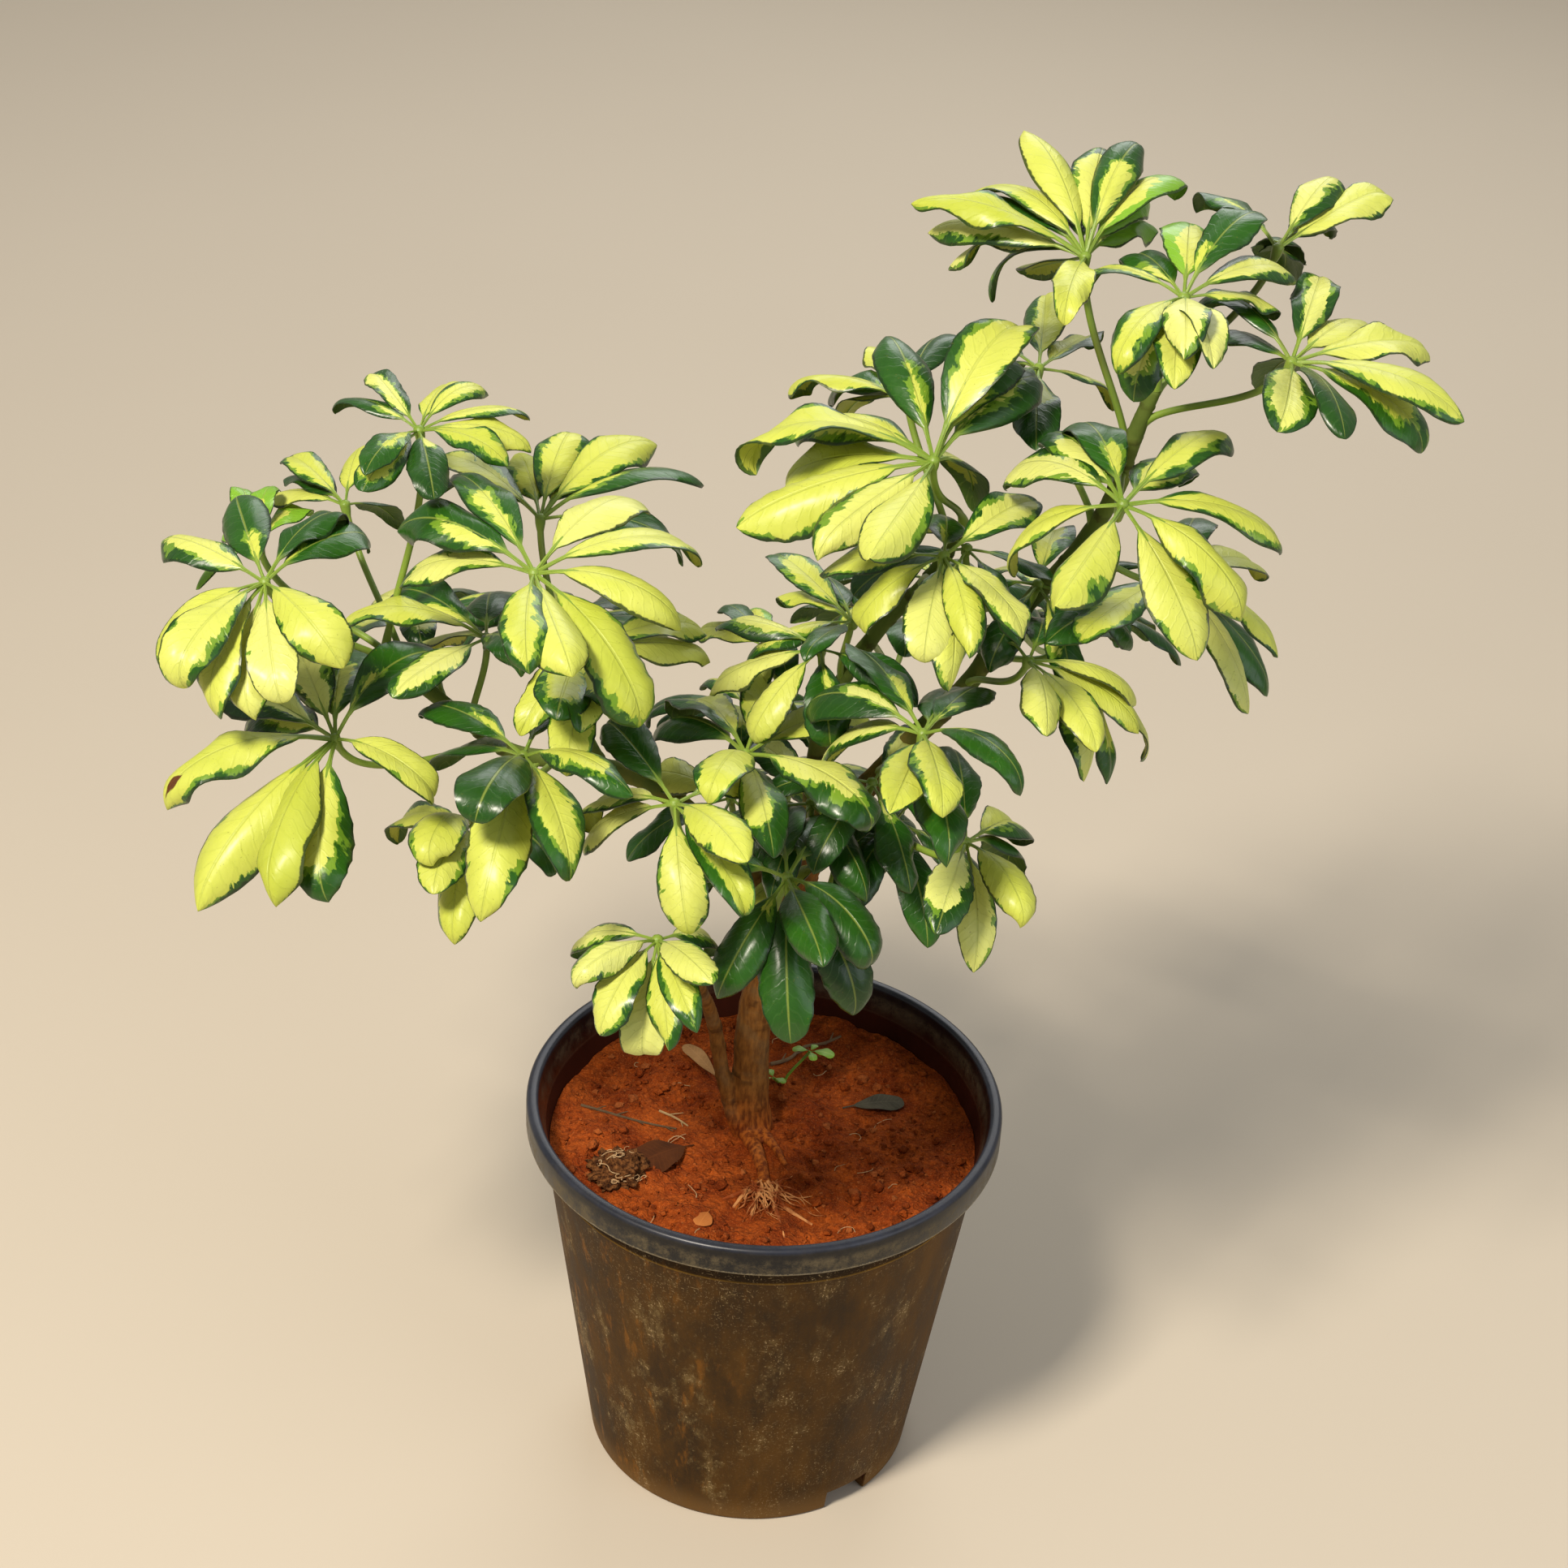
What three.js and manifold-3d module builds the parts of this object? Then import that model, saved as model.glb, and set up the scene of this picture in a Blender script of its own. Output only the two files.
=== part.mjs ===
// Potted umbrella plant: a young variegated umbrella tree rooted in red earth in a black
// nursery pot. Its trunk forks into three leafy branches, and each stalk carries an
// umbrella of leaflets.
// Millimetres, +Z up. The origin is the centre of the pot's underside, and -Y is the front.
import * as THREE from 'three';
import { mergeVertices } from 'three/addons/utils/BufferGeometryUtils.js';
import Module from 'manifold-3d';

const wasm = await Module();
wasm.setup();

// Pot: a ten inch nursery pot with a turned-down lip. The drainage notches in its foot lie at
// these angles round from +X, and their lining reaches this far out, into the wall
const POT_HEIGHT = 220;
const RIM_RADIUS = 125;
const RIM_TOP_WIDTH = 6.5;
const LIP_HEIGHT = 16;
const NECK_RADIUS = 116.5;
const BASE_RADIUS = 88;
const WALL = 2;
const FLOOR = 3;
const EDGE = 1.5;
const ROUND_SIDES = 36;
const NOTCH_ANGLES = [-51, 129];
const NOTCH_WIDTH = 27;
const NOTCH_HEIGHT = 13;
const NOTCH_DEPTH = 12;
const NOTCH_LINING_REACH = 86.3;

// Earth: the rings of its lumpy surface step inwards by these shares of the radius, and each
// wave has a height, its turn per millimetre along X and Y, and its start
const EARTH_LEVEL = 192;
const EARTH_RINGS = [0.85, 0.66, 0.46, 0.25];
const EARTH_WAVES = [
  [1.8, 0.043, 0.051, 0.5],
  [1.1, 0.13, -0.09, 0],
  [0.9, 0.15, 0.11, 2],
];

// Gap between pieces that touch
const GAP = 0.3;

// Leaflets: the stalk's share of the length, the blade's half width as a share of the length,
// the powers that shape its outline towards the stalk and the tip, and the power of its droop
const STALK_SHARE = 0.17;
const BLADE_SPREAD = 0.158;
const OUTLINE_BASE = 0.85;
const OUTLINE_TIP = 0.42;
const DROOP_POWER = 1.5;
const STALK_HALF_WIDTH = 0.9;
const STALK_THICKNESS = 1.3;
const BLADE_THICKNESS = 1.5;
const MIDRIB_STEPS = 24;
const SECTION_STEPS = [0, 4, 11, 19];

// Leaf stalks: each leaves its stem outwards and upwards by these shares, and its curve is
// drawn with handles of this share of its reach
const STALK_RADIUS = 1.8;
const STALK_SIDES = 5;
const STALK_STATIONS = [0, 0.3, 0.6, 0.88];
const STALK_OUTWARD = 0.6;
const STALK_UPWARD = 0.3;
const STALK_HANDLE = 0.35;
const HUB_RADIUS = 3.1;
const HUB_HALF_LENGTH = 2.4;

// Stems: each row is a point on the centre line and the radius there
const TRUNK_SIDES = 8;
const BRANCH_SIDES = 6;
const ROOT_SIDES = 5;
const STEMS = {
  trunk: [[-5, 9, 186, 11], [-8, 9, 223, 9.6], [-7, 9, 271, 9.2], [3, 8, 319, 8.8], [13, 6, 358, 8.6]],
  right: [[13, 6, 358, 7.4], [32, 12, 392, 6.4], [56, 18, 423, 5.8], [86, 24, 459, 5.2],
    [113, 30, 504, 4.6], [134, 25, 538, 4.3], [150, 15, 580, 4.2], [154, 8, 609, 4], [161, 5, 636, 3.6]],
  centre: [[13, 6, 358, 7], [16, 22, 385, 5.8], [17, 34, 416, 5], [26, 40, 448, 4.4],
    [44, 42, 481, 4], [68, 35, 518, 3.6], [80, 28, 549, 3.2]],
  left: [[6, 8, 327, 7], [-28, 22, 360, 6], [-67, 26, 394, 5.2], [-103, 18, 409, 4.8],
    [-136, 8, 420, 4.3], [-160, 8, 439, 3.9], [-183, 12, 456, 3.6], [-197, 14, 467, 3.3]],
  leftup: [[-89, 21, 403, 4.2], [-99, 20, 424, 3.6], [-103, 18, 448, 3.2]],
  sucker: [[-12, 4, 189, 4.6], [-22, 4, 226, 4.2], [-28, 0, 263, 3.9], [-40, -50, 334, 3.3]],
};
const ROOTSTOCK = [[-5, 9, 187, 11.4], [-4, 9, 165, 10], [-2, 10, 132, 6]];

// Leaves: each has its hub, the lean of its axis from upright, its place as a share of a stem's
// length, a sideways bow where its stalk passes another, its main colour and its leaflets, as
// heading round the axis, rise and droop in degrees, and length
const UMBRELLAS = [
  { hub: [-180, 25, 584], lean: [-0.15, 0], stem: 'left', at: 1, tone: 'lemon',
    leaflets: '125 30 35 55, 145 30 65 56, 250 25 55 54, 250 10 40 54, 285 10 55 56, 330 15 70 53, '
      + '0 10 70 58, 25 15 55 57, 55 30 80 55, 80 20 55 55' },
  { hub: [-248, -20, 523], lean: [-0.25, -0.1], stem: 'left', at: 0.905, bow: [4, 0, 0], tone: 'lemon',
    leaflets: '150 30 55 73, 110 25 40 73, 65 20 65 73, 50 10 55 73, 305 15 90 73, 280 -5 40 73, '
      + '260 -10 40 78, 245 0 55 78, 245 20 65 80, 220 20 85 72' },
  { hub: [-265, 60, 499], lean: [-0.2, 0.2], stem: 'left', at: 0.972, tone: 'dark',
    leaflets: '105 50 45 45, 60 30 55 45, 130 20 60 44, 220 10 65 43, 80 65 85 45' },
  { hub: [-214, -40, 451], lean: [-0.3, -0.15], stem: 'left', at: 0.7, bow: [0, -4, -2], tone: 'lemon',
    leaflets: '210 40 85 101, 135 5 40 83, 110 20 10 83, 95 15 50 84, 45 35 100 86, 325 15 95 75, '
      + '265 -5 35 93, 250 10 50 102, 230 5 45 110, 145 25 55 87' },
  { hub: [-118, -55, 555], lean: [-0.05, -0.15], stem: 'leftup', at: 1, tone: 'lemon',
    leaflets: '150 25 80 89, 160 5 70 83, 120 25 55 86, 55 25 75 86, 20 25 75 87, 345 20 90 83, 315 0 65 97, '
      + '285 15 25 84, 270 20 35 83' },
  { hub: [-125, 53, 526], lean: [0, 0.25], stem: 'leftup', at: 0.86, tone: 'mixed',
    leaflets: '85 40 30 77, 105 30 40 77, 70 30 25 78, 45 45 60 86, 30 35 65 94, 145 35 45 78, 350 15 65 82, '
      + '135 25 60 79' },
  { hub: [-224, 75, 516], lean: [-0.2, 0.2], stem: 'left', at: 0.945, tone: 'lemon',
    leaflets: '70 -10 50 59, 125 20 35 61, 130 35 45 62, 85 35 50 61, 140 15 40 62' },
  { hub: [-147, 10, 482], lean: [-0.1, -0.05], stem: 'left', at: 0.79, tone: 'mixed',
    leaflets: '190 45 75 76, 140 25 60 71, 130 -15 40 70, 240 15 25 69, 290 40 55 71, 95 10 65 72' },
  { hub: [-99, -10, 490], lean: [0.15, -0.15], stem: 'leftup', at: 0.72, bow: [3, -3, -2], tone: 'lemon',
    leaflets: '270 0 35 75, 260 20 10 75, 250 15 70 66, 275 15 5 75, 290 25 10 73, 70 -10 75 76, '
      + '20 10 45 73, 30 20 60 74' },
  { hub: [-121, -70, 466], lean: [0.05, -0.15], stem: 'left', at: 0.57, tone: 'dark',
    leaflets: '135 -20 45 81, 265 10 70 99, 320 45 70 79, 295 20 60 84, 135 5 45 79, 260 40 55 82, '
      + '80 5 65 84' },
  { hub: [-149, -25, 397], lean: [-0.2, -0.15], stem: 'left', at: 0.62, tone: 'lemon',
    leaflets: '255 60 95 76, 265 10 60 76, 260 35 55 70, 320 40 90 74, 150 5 85 74' },
  { hub: [-49, -90, 457], lean: [-0.05, -0.25], stem: 'left', at: 0.17, tone: 'lemon',
    leaflets: '125 15 55 77, 145 -15 65 79, 165 -25 50 74, 275 0 70 72, 300 15 45 79, 305 40 50 76, '
      + '45 -10 40 76' },
  { hub: [-18, -35, 452], lean: [0.1, -0.05], stem: 'centre', at: 0.12, tone: 'lemon',
    leaflets: '115 10 75 85, 125 0 60 83, 80 15 50 82, 45 15 45 82, 320 30 70 92, 280 15 40 81, '
      + '255 40 55 82' },
  { hub: [64, -70, 490], lean: [0.15, -0.15], stem: 'right', at: 0.2, tone: 'mixed',
    leaflets: '115 5 35 82, 140 5 80 86, 140 -20 75 80, 260 20 20 82, 280 10 30 86, 270 30 35 82, '
      + '310 50 85 81, 65 0 40 81, 75 -10 25 81' },
  { hub: [89, -60, 425], lean: [0.2, -0.2], stem: 'right', at: 0.12, tone: 'lemon',
    leaflets: '95 15 40 71, 50 0 80 73, 295 35 70 71, 280 0 65 69, 255 20 40 72, 45 -15 75 73' },
  { hub: [-54, -115, 397], lean: [-0.1, -0.3], stem: 'sucker', at: 1, tone: 'lemon',
    leaflets: '155 -5 75 63, 230 45 75 61, 245 25 70 63, 265 0 75 64, 280 15 60 62, 290 25 60 62, '
      + '45 -25 70 61, 300 45 50 61' },
  { hub: [5, -70, 406], lean: [0, -0.2], stem: 'trunk', at: 0.8, bow: [-13, -13, -9], tone: 'dark',
    leaflets: '70 5 65 84, 95 0 55 83, 145 -10 75 83, 315 30 95 79, 310 -5 80 83, 280 25 20 82, '
      + '270 -5 75 87, 245 0 70 75' },
  { hub: [29, -16, 382], lean: [0.2, 0.1], stem: 'trunk', at: 0.9, bow: [0, -18, -9], tone: 'lemon',
    leaflets: '285 -25 60 77, 50 15 110 61, 50 30 55 61, 210 -10 60 66' },
  { hub: [30, 30, 491], lean: [-0.1, 0.05], stem: 'centre', at: 0.47, bow: [-4, 0, -2], tone: 'dark',
    leaflets: '205 15 55 61, 130 15 55 61, 135 30 30 65, 250 20 25 59, 105 20 60 62, 75 15 50 62' },
  { hub: [-11, 70, 450], lean: [-0.2, 0.2], stem: 'centre', at: 0.28, tone: 'mixed',
    leaflets: '120 40 60 52, 135 20 35 52, 265 15 35 51, 285 25 60 51, 100 30 55 52' },
  { hub: [68, -45, 570], lean: [0.1, -0.15], stem: 'centre', at: 0.8, tone: 'lemon',
    leaflets: '210 -10 85 61, 260 5 35 70, 280 20 65 69, 305 20 40 68, 45 20 50 70, 85 -5 40 70, '
      + '160 -15 40 67, 280 5 65 74' },
  { hub: [61, -25, 608], lean: [0, -0.1], stem: 'centre', at: 1, tone: 'lemon',
    leaflets: '160 -5 50 90, 190 -5 30 97, 230 0 25 82, 255 5 10 87, 140 15 75 90, 165 25 95 105, '
      + '110 40 65 88, 60 60 95 99, 60 45 100 97, 50 30 65 93, 65 -20 65 84' },
  { hub: [50, 65, 594], lean: [-0.2, 0.15], stem: 'centre', at: 0.93, tone: 'lemon',
    leaflets: '155 30 65 74, 130 20 75 71, 95 15 25 70, 75 30 55 72, 125 5 70 71' },
  { hub: [145, -60, 609], lean: [0.1, -0.15], stem: 'right', at: 0.84, tone: 'lemon',
    leaflets: '110 5 40 85, 100 15 60 86, 65 0 40 85, 130 5 75 88, 175 -15 95 79, 250 5 10 87, '
      + '305 -15 40 80, 325 10 75 83, 0 20 75 86, 45 35 75 85' },
  { hub: [125, 30, 688], lean: [0, 0.1], stem: 'right', at: 0.88, tone: 'lemon',
    leaflets: '110 -20 5 78, 135 5 95 76, 145 10 65 79, 130 40 80 83, 125 25 55 81, 165 30 45 88, '
      + '155 15 40 82, 110 50 55 86, 95 25 60 80, 85 45 40 80, 65 60 80 87, 55 45 75 86, 60 30 60 81, '
      + '65 10 25 78, 260 10 30 78' },
  { hub: [167, -10, 688], lean: [0, -0.1], stem: 'right', at: 1, tone: 'lemon',
    leaflets: '110 5 45 70, 150 20 100 70, 240 5 95 64, 260 10 35 70, 265 30 55 71, 275 20 35 70, '
      + '25 0 50 60, 35 20 70 73, 60 40 65 72, 85 25 60 72, 235 20 60 71' },
  { hub: [214, 45, 691], lean: [0.2, 0.15], stem: 'right', at: 0.972, tone: 'mixed',
    leaflets: '125 25 65 72, 60 50 60 71, 40 35 20 74, 70 -10 30 70, 60 25 60 72, 80 5 65 72' },
  { hub: [218, -15, 662], lean: [0.3, -0.05], stem: 'right', at: 0.935, tone: 'dark',
    leaflets: '80 30 45 77, 55 25 60 78, 20 30 50 81, 340 30 50 85, 345 15 60 78, 280 25 50 75, '
      + '260 10 15 77, 80 -20 40 76, 100 -15 10 77, 125 20 80 76' },
  { hub: [113, 85, 606], lean: [0, 0.2], stem: 'right', at: 0.74, tone: 'dark',
    leaflets: '125 15 60 74, 85 25 10 73, 40 -10 30 70, 60 10 15 73, 265 -5 30 73, 115 0 70 72, '
      + '250 15 65 74' },
  { hub: [180, 25, 530], lean: [0.25, 0.05], stem: 'right', at: 0.68, tone: 'dark',
    leaflets: '35 20 60 74, 315 20 55 77, 310 -5 50 84, 335 -10 35 79, 220 -15 15 80, 235 -10 10 74, '
      + '145 -10 75 73, 75 25 60 76' },
  { hub: [113, -25, 506], lean: [0.25, -0.1], stem: 'right', at: 0.4, tone: 'lemon',
    leaflets: '275 25 45 69, 305 15 35 67, 350 10 50 68, 355 25 80 66, 115 0 80 68, 75 10 65 70' },
  { hub: [130, 30, 482], lean: [0.3, 0.1], stem: 'right', at: 0.45, tone: 'lemon',
    leaflets: '330 -20 50 74, 345 -5 60 80, 300 -5 65 77, 55 20 60 72' },
  { hub: [75, 120, 465], lean: [0.1, 0.3], stem: 'right', at: 0.55, tone: 'dark',
    leaflets: '15 15 60 74, 65 20 70 70, 120 25 60 66, 170 15 70 74, 220 20 60 70, 270 25 70 66, '
      + '325 15 60 74' },
  { hub: [150, 165, 430], lean: [0.25, 0.35], stem: 'right', at: 0.5, tone: 'dark',
    leaflets: '40 15 60 70, 90 20 70 66, 145 25 60 62, 195 15 70 70, 245 0 25 66, 295 25 70 62, '
      + '350 15 60 70' },
  { hub: [-115, 125, 428], lean: [-0.1, 0.35], stem: 'left', at: 0.36, tone: 'dark',
    leaflets: '5 15 60 74, 55 20 70 70, 110 25 60 66, 160 15 70 74, 260 25 70 66, 315 15 60 74' },
  { hub: [5, 140, 330], lean: [0, 0.4], stem: 'trunk', at: 0.55, bow: [-6, 6, -4], tone: 'dark',
    leaflets: '25 15 60 74, 75 20 70 70, 130 25 60 66, 180 15 70 74, 230 20 60 70, 280 25 70 66, '
      + '335 15 60 74' },
  { hub: [-20, 95, 398], lean: [0, 0.3], stem: 'centre', at: 0.2, tone: 'dark',
    leaflets: '10 15 60 66, 60 20 70 62, 115 25 60 58, 165 15 70 66, 215 20 60 62, 265 25 70 58, '
      + '320 15 60 66' },
  { hub: [62, 185, 405], lean: [0.05, 0.45], stem: 'centre', at: 0.57, tone: 'dark',
    leaflets: '0 15 60 70, 45 20 70 66, 90 25 60 62, 135 15 70 70, 180 20 60 66, 225 25 70 62, 270 15 60 70, '
      + '315 20 70 66' },
  { hub: [-190, 100, 440], lean: [-0.25, 0.3], stem: 'left', at: 0.86, tone: 'dark',
    leaflets: '20 15 60 70, 70 20 70 66, 125 25 60 62, 175 15 70 70, 225 20 60 66, 275 25 70 62, '
      + '330 15 60 70' },
];

// Surface roots that run out from the foot of the trunk: x, y and radius, each lifted from
// the earth by a share of its radius
const ROOT_LIFT = 0.3;
const SURFACE_ROOTS = [
  [[-9, 3, 5], [-1, -19, 3.6], [2, -33, 3]],
  [[-3, 4, 4], [6, -10, 2.4], [13, -23, 1.5]],
  [[2, -32, 2.6], [-6, -44, 1.8], [-12, -60, 0.8]],
  [[2, -32, 2.8], [8, -46, 2], [23, -61, 0.8]],
];

// Litter on the earth: fallen leaves are blades, and twigs are thin tubes
const FALLEN_LEAF_LIFT = 1;
const TWIG_LIFT = 0.5;
const FALLEN_LEAVES = {
  fallen_leaf_brown: { start: [-36, -10], heading: 215, rise: 12, droop: 25, length: 34, spread: 0.36 },
  fallen_leaf_grey: { start: [42, 30], heading: 12, rise: 10, droop: 22, length: 34, spread: 0.2 },
  fallen_leaf_tan: { start: [-24, 42], heading: 127, rise: 16, droop: 26, length: 36, spread: 0.13 },
  fallen_scrap: { start: [-25, -64], heading: 250, rise: 10, droop: 16, length: 15, spread: 0.36 },
};
const TWIGS = {
  twig_back: { points: [[2, 64], [20, 80], [40, 92]], radius: 1.1 },
  twig_long: { points: [[-98, 20], [-74, 12], [-46, 4]], radius: 0.8 },
  twig_short: { points: [[-56, 19], [-40, 7]], radius: 0.7 },
};

// Clod: a crumbled lump, rough by this share of its size in waves over its unit ball
const CLOD = { centre: [-74, -38], size: [14, 13, 8], lift: 2.5, roughness: 0.12, waves: [5, 3, 4, -2] };

// Seedling: a weed with a whorl of four leaves and a lower one of three, each given as heading
// and length
const SEEDLING_SIDES = 4;
const SEEDLING = {
  foot: [9, 46], top: [23, 50, 213], low: [4, 43, 199], stemRadius: 0.8, footDepth: 9,
  whorl: [[175, 10], [60, 7], [345, 14], [285, 9]],
  lowWhorl: [[200, 9], [110, 8], [330, 8]],
  rise: 20, droop: 45, spread: 0.26,
};

const COLOURS = {
  pot: ['#25272a', 0.45], earth: ['#7e3312', 0.95], bark: ['#8a6136', 0.8],
  lemon: ['#dcd94a', 0.4], mixed: ['#9aa83a', 0.4], dark: ['#1f4420', 0.35],
  seedling: ['#84a32c', 0.5], litter: ['#7a5a35', 0.85], clod: ['#4a2c1c', 0.95],
};

// Solids: corners nearer than this are one corner, and a line steeper than this share of
// upright takes its first ring from X
const MERGE_DISTANCE = 1e-4;
const STEEP = 0.9;

const plant = new THREE.Group();

function vector(x, y, z) {
  return new THREE.Vector3(x, y, z);
}

// A closed triangle mesh becomes a solid once its shared corners are merged
function solid(geometry) {
  const bare = geometry.clone();
  bare.deleteAttribute('normal');
  bare.deleteAttribute('uv');
  const merged = mergeVertices(bare, MERGE_DISTANCE);
  const corners = merged.index.array;
  const triangles = [];
  for (let i = 0; i < corners.length; i += 3) {
    const [a, b, c] = corners.subarray(i, i + 3);
    if (a !== b && b !== c && c !== a) triangles.push(a, b, c);
  }
  const mesh = new wasm.Mesh({
    numProp: 3,
    vertProperties: new Float32Array(merged.attributes.position.array),
    triVerts: new Uint32Array(triangles),
  });
  return new wasm.Manifold(mesh);
}

function addPiece(name, shape, finish) {
  const { vertProperties, triVerts } = shape.getMesh();
  const geometry = new THREE.BufferGeometry();
  geometry.setAttribute('position', new THREE.BufferAttribute(new Float32Array(vertProperties), 3));
  geometry.setIndex(new THREE.BufferAttribute(new Uint32Array(triVerts), 1));
  const [color, roughness] = COLOURS[finish];
  const material = new THREE.MeshStandardMaterial({ color, roughness, metalness: 0, flatShading: true });
  const piece = new THREE.Mesh(geometry, material);
  piece.name = name;
  plant.add(piece);
}

// The largest body of a cut shape, without loose scraps
function largest(shape) {
  return shape.decompose().sort((a, b) => b.volume() - a.volume())[0];
}

// Skin over a row of sections with equal numbers of corners, each running anticlockwise
// as seen from the far end; a last section of one point closes in a tip
function loft(sections) {
  const positions = [];
  const triangle = (a, b, c) => positions.push(...a, ...b, ...c);
  const [first] = sections;
  const last = sections.at(-1);
  for (let i = 1; i < first.length - 1; i += 1) triangle(first[0], first[i + 1], first[i]);
  for (let k = 1; k < sections.length; k += 1) {
    const near = sections[k - 1];
    const far = sections[k];
    for (let i = 0; i < near.length; i += 1) {
      const next = (i + 1) % near.length;
      if (far.length === 1) {
        triangle(near[i], near[next], far[0]);
      } else {
        triangle(near[i], near[next], far[next]);
        triangle(near[i], far[next], far[i]);
      }
    }
  }
  for (let i = 1; i < last.length - 1; i += 1) triangle(last[0], last[i], last[i + 1]);
  const geometry = new THREE.BufferGeometry();
  geometry.setAttribute('position', new THREE.Float32BufferAttribute(positions, 3));
  return solid(geometry);
}

// Round tube through points with a radius at each, its rings carried along without twist
function tube(points, radii, sides, grow = 0) {
  const directions = points.map((_, i) => {
    const before = points[Math.max(i - 1, 0)];
    const after = points[Math.min(i + 1, points.length - 1)];
    return after.clone().sub(before).normalize();
  });
  const steepest = Math.abs(directions[0].z) > STEEP ? vector(1, 0, 0) : vector(0, 0, 1);
  let across = directions[0].clone().cross(steepest).normalize();
  const sections = points.map((point, i) => {
    across = across.clone().addScaledVector(directions[i], -across.dot(directions[i])).normalize();
    const upward = directions[i].clone().cross(across);
    const end = i === 0 ? -grow : i === points.length - 1 ? grow : 0;
    const centre = point.clone().addScaledVector(directions[i], end);
    return Array.from({ length: sides }, (_, k) => {
      const turn = 2 * Math.PI * k / sides;
      const radius = radii[i] + grow;
      return centre.clone()
        .addScaledVector(across, radius * Math.cos(turn))
        .addScaledVector(upward, radius * Math.sin(turn));
    });
  });
  return loft(sections);
}

function stemTube(rows, sides, grow = 0) {
  return tube(rows.map(([x, y, z]) => vector(x, y, z)), rows.map(row => row[3]), sides, grow);
}

function joined(shapes) {
  return shapes.reduce((whole, shape) => whole.add(shape));
}

// Solid of revolution round Z from a closed profile of radius and height
function turned(profile) {
  const lathe = new THREE.LatheGeometry(profile.map(([r, z]) => new THREE.Vector2(r, z)), ROUND_SIDES);
  return solid(lathe.rotateX(Math.PI / 2));
}

// Outside radius of the pot's wall at a height below the lip
function wallRadius(z) {
  return BASE_RADIUS + (NECK_RADIUS - BASE_RADIUS) * z / (POT_HEIGHT - LIP_HEIGHT);
}

// Block at each drainage notch, from a distance off the pot's middle to another, as wide and
// high as the notch and thicker by a margin
function notchBlocks(near, far, margin, foot) {
  const top = NOTCH_HEIGHT + margin;
  const block = new THREE.BoxGeometry(far - near, NOTCH_WIDTH + 2 * margin, top - foot);
  block.translate((near + far) / 2, 0, (top + foot) / 2);
  return NOTCH_ANGLES.map(angle => solid(block.clone().rotateZ(THREE.MathUtils.degToRad(angle))));
}

// Straight tapering wall, lip turned down outside the neck, and drainage notches in the foot,
// each lined where it runs in under the earth
function pot() {
  const lipFoot = POT_HEIGHT - LIP_HEIGHT;
  const mouth = RIM_RADIUS - RIM_TOP_WIDTH;
  const shell = turned([
    [0, 0],
    [BASE_RADIUS - EDGE, 0],
    [wallRadius(EDGE), EDGE],
    [wallRadius(lipFoot), lipFoot],
    [mouth + WALL / 2, POT_HEIGHT - 2 * WALL],
    [RIM_RADIUS - WALL, POT_HEIGHT - 2 * WALL],
    [RIM_RADIUS - WALL, lipFoot],
    [RIM_RADIUS, lipFoot],
    [RIM_RADIUS, POT_HEIGHT - EDGE],
    [RIM_RADIUS - EDGE, POT_HEIGHT],
    [mouth + EDGE, POT_HEIGHT],
    [mouth, POT_HEIGHT - EDGE],
    [wallRadius(lipFoot) - WALL, lipFoot],
    [wallRadius(FLOOR) - WALL, FLOOR],
    [0, FLOOR],
  ]);
  const back = BASE_RADIUS - NOTCH_DEPTH;
  const lined = joined([shell, ...notchBlocks(back - WALL, NOTCH_LINING_REACH, WALL, EDGE)]);
  return notchBlocks(back, RIM_RADIUS, 0, -WALL).reduce((body, notch) => body.subtract(notch), lined);
}

// Height of the lumpy earth at a place
function earthHeight(x, y) {
  return EARTH_WAVES.reduce(
    (height, [size, alongX, alongY, start]) => height + size * Math.sin(alongX * x + alongY * y + start),
    EARTH_LEVEL);
}

// Earth filling the pot, clear of its wall all round
function earth() {
  const insideRadius = z => wallRadius(z) - WALL - GAP;
  const ring = (share, height) => Array.from({ length: ROUND_SIDES }, (_, i) => {
    const turn = 2 * Math.PI * i / ROUND_SIDES;
    const radius = insideRadius(EARTH_LEVEL) * share;
    const z = height ?? earthHeight(radius * Math.cos(turn), radius * Math.sin(turn));
    const reach = share === 1 ? insideRadius(z) : radius;
    return vector(reach * Math.cos(turn), reach * Math.sin(turn), z);
  });
  const foot = ring(1, FLOOR + GAP);
  const sections = [foot, ring(1), ...EARTH_RINGS.map(share => ring(share))];
  sections.push([vector(0, 0, earthHeight(0, 0))]);
  return loft(sections);
}

// Trunk, branches, second stem and roots as one grown body
function framework(grow = 0) {
  const rootTube = row => tube(
    row.map(([x, y, radius]) => vector(x, y, earthHeight(x, y) + radius * ROOT_LIFT)),
    row.map(([, , radius]) => radius), ROOT_SIDES, grow);
  return joined([
    ...Object.entries(STEMS).map(([name, rows]) => (
      stemTube(rows, name === 'trunk' ? TRUNK_SIDES : BRANCH_SIDES, grow))),
    stemTube(ROOTSTOCK, TRUNK_SIDES, grow),
    ...SURFACE_ROOTS.map(rootTube),
  ]);
}

// Point at a share of a stem's length
function pointAlong(stem, share) {
  const points = STEMS[stem].map(([x, y, z]) => vector(x, y, z));
  const lengths = points.slice(1).map((point, i) => point.distanceTo(points[i]));
  let left = share * lengths.reduce((sum, length) => sum + length, 0);
  let i = 0;
  while (left > lengths[i] && i < lengths.length - 1) {
    left -= lengths[i];
    i += 1;
  }
  return points[i].clone().lerp(points[i + 1], Math.min(left / lengths[i], 1));
}

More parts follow.
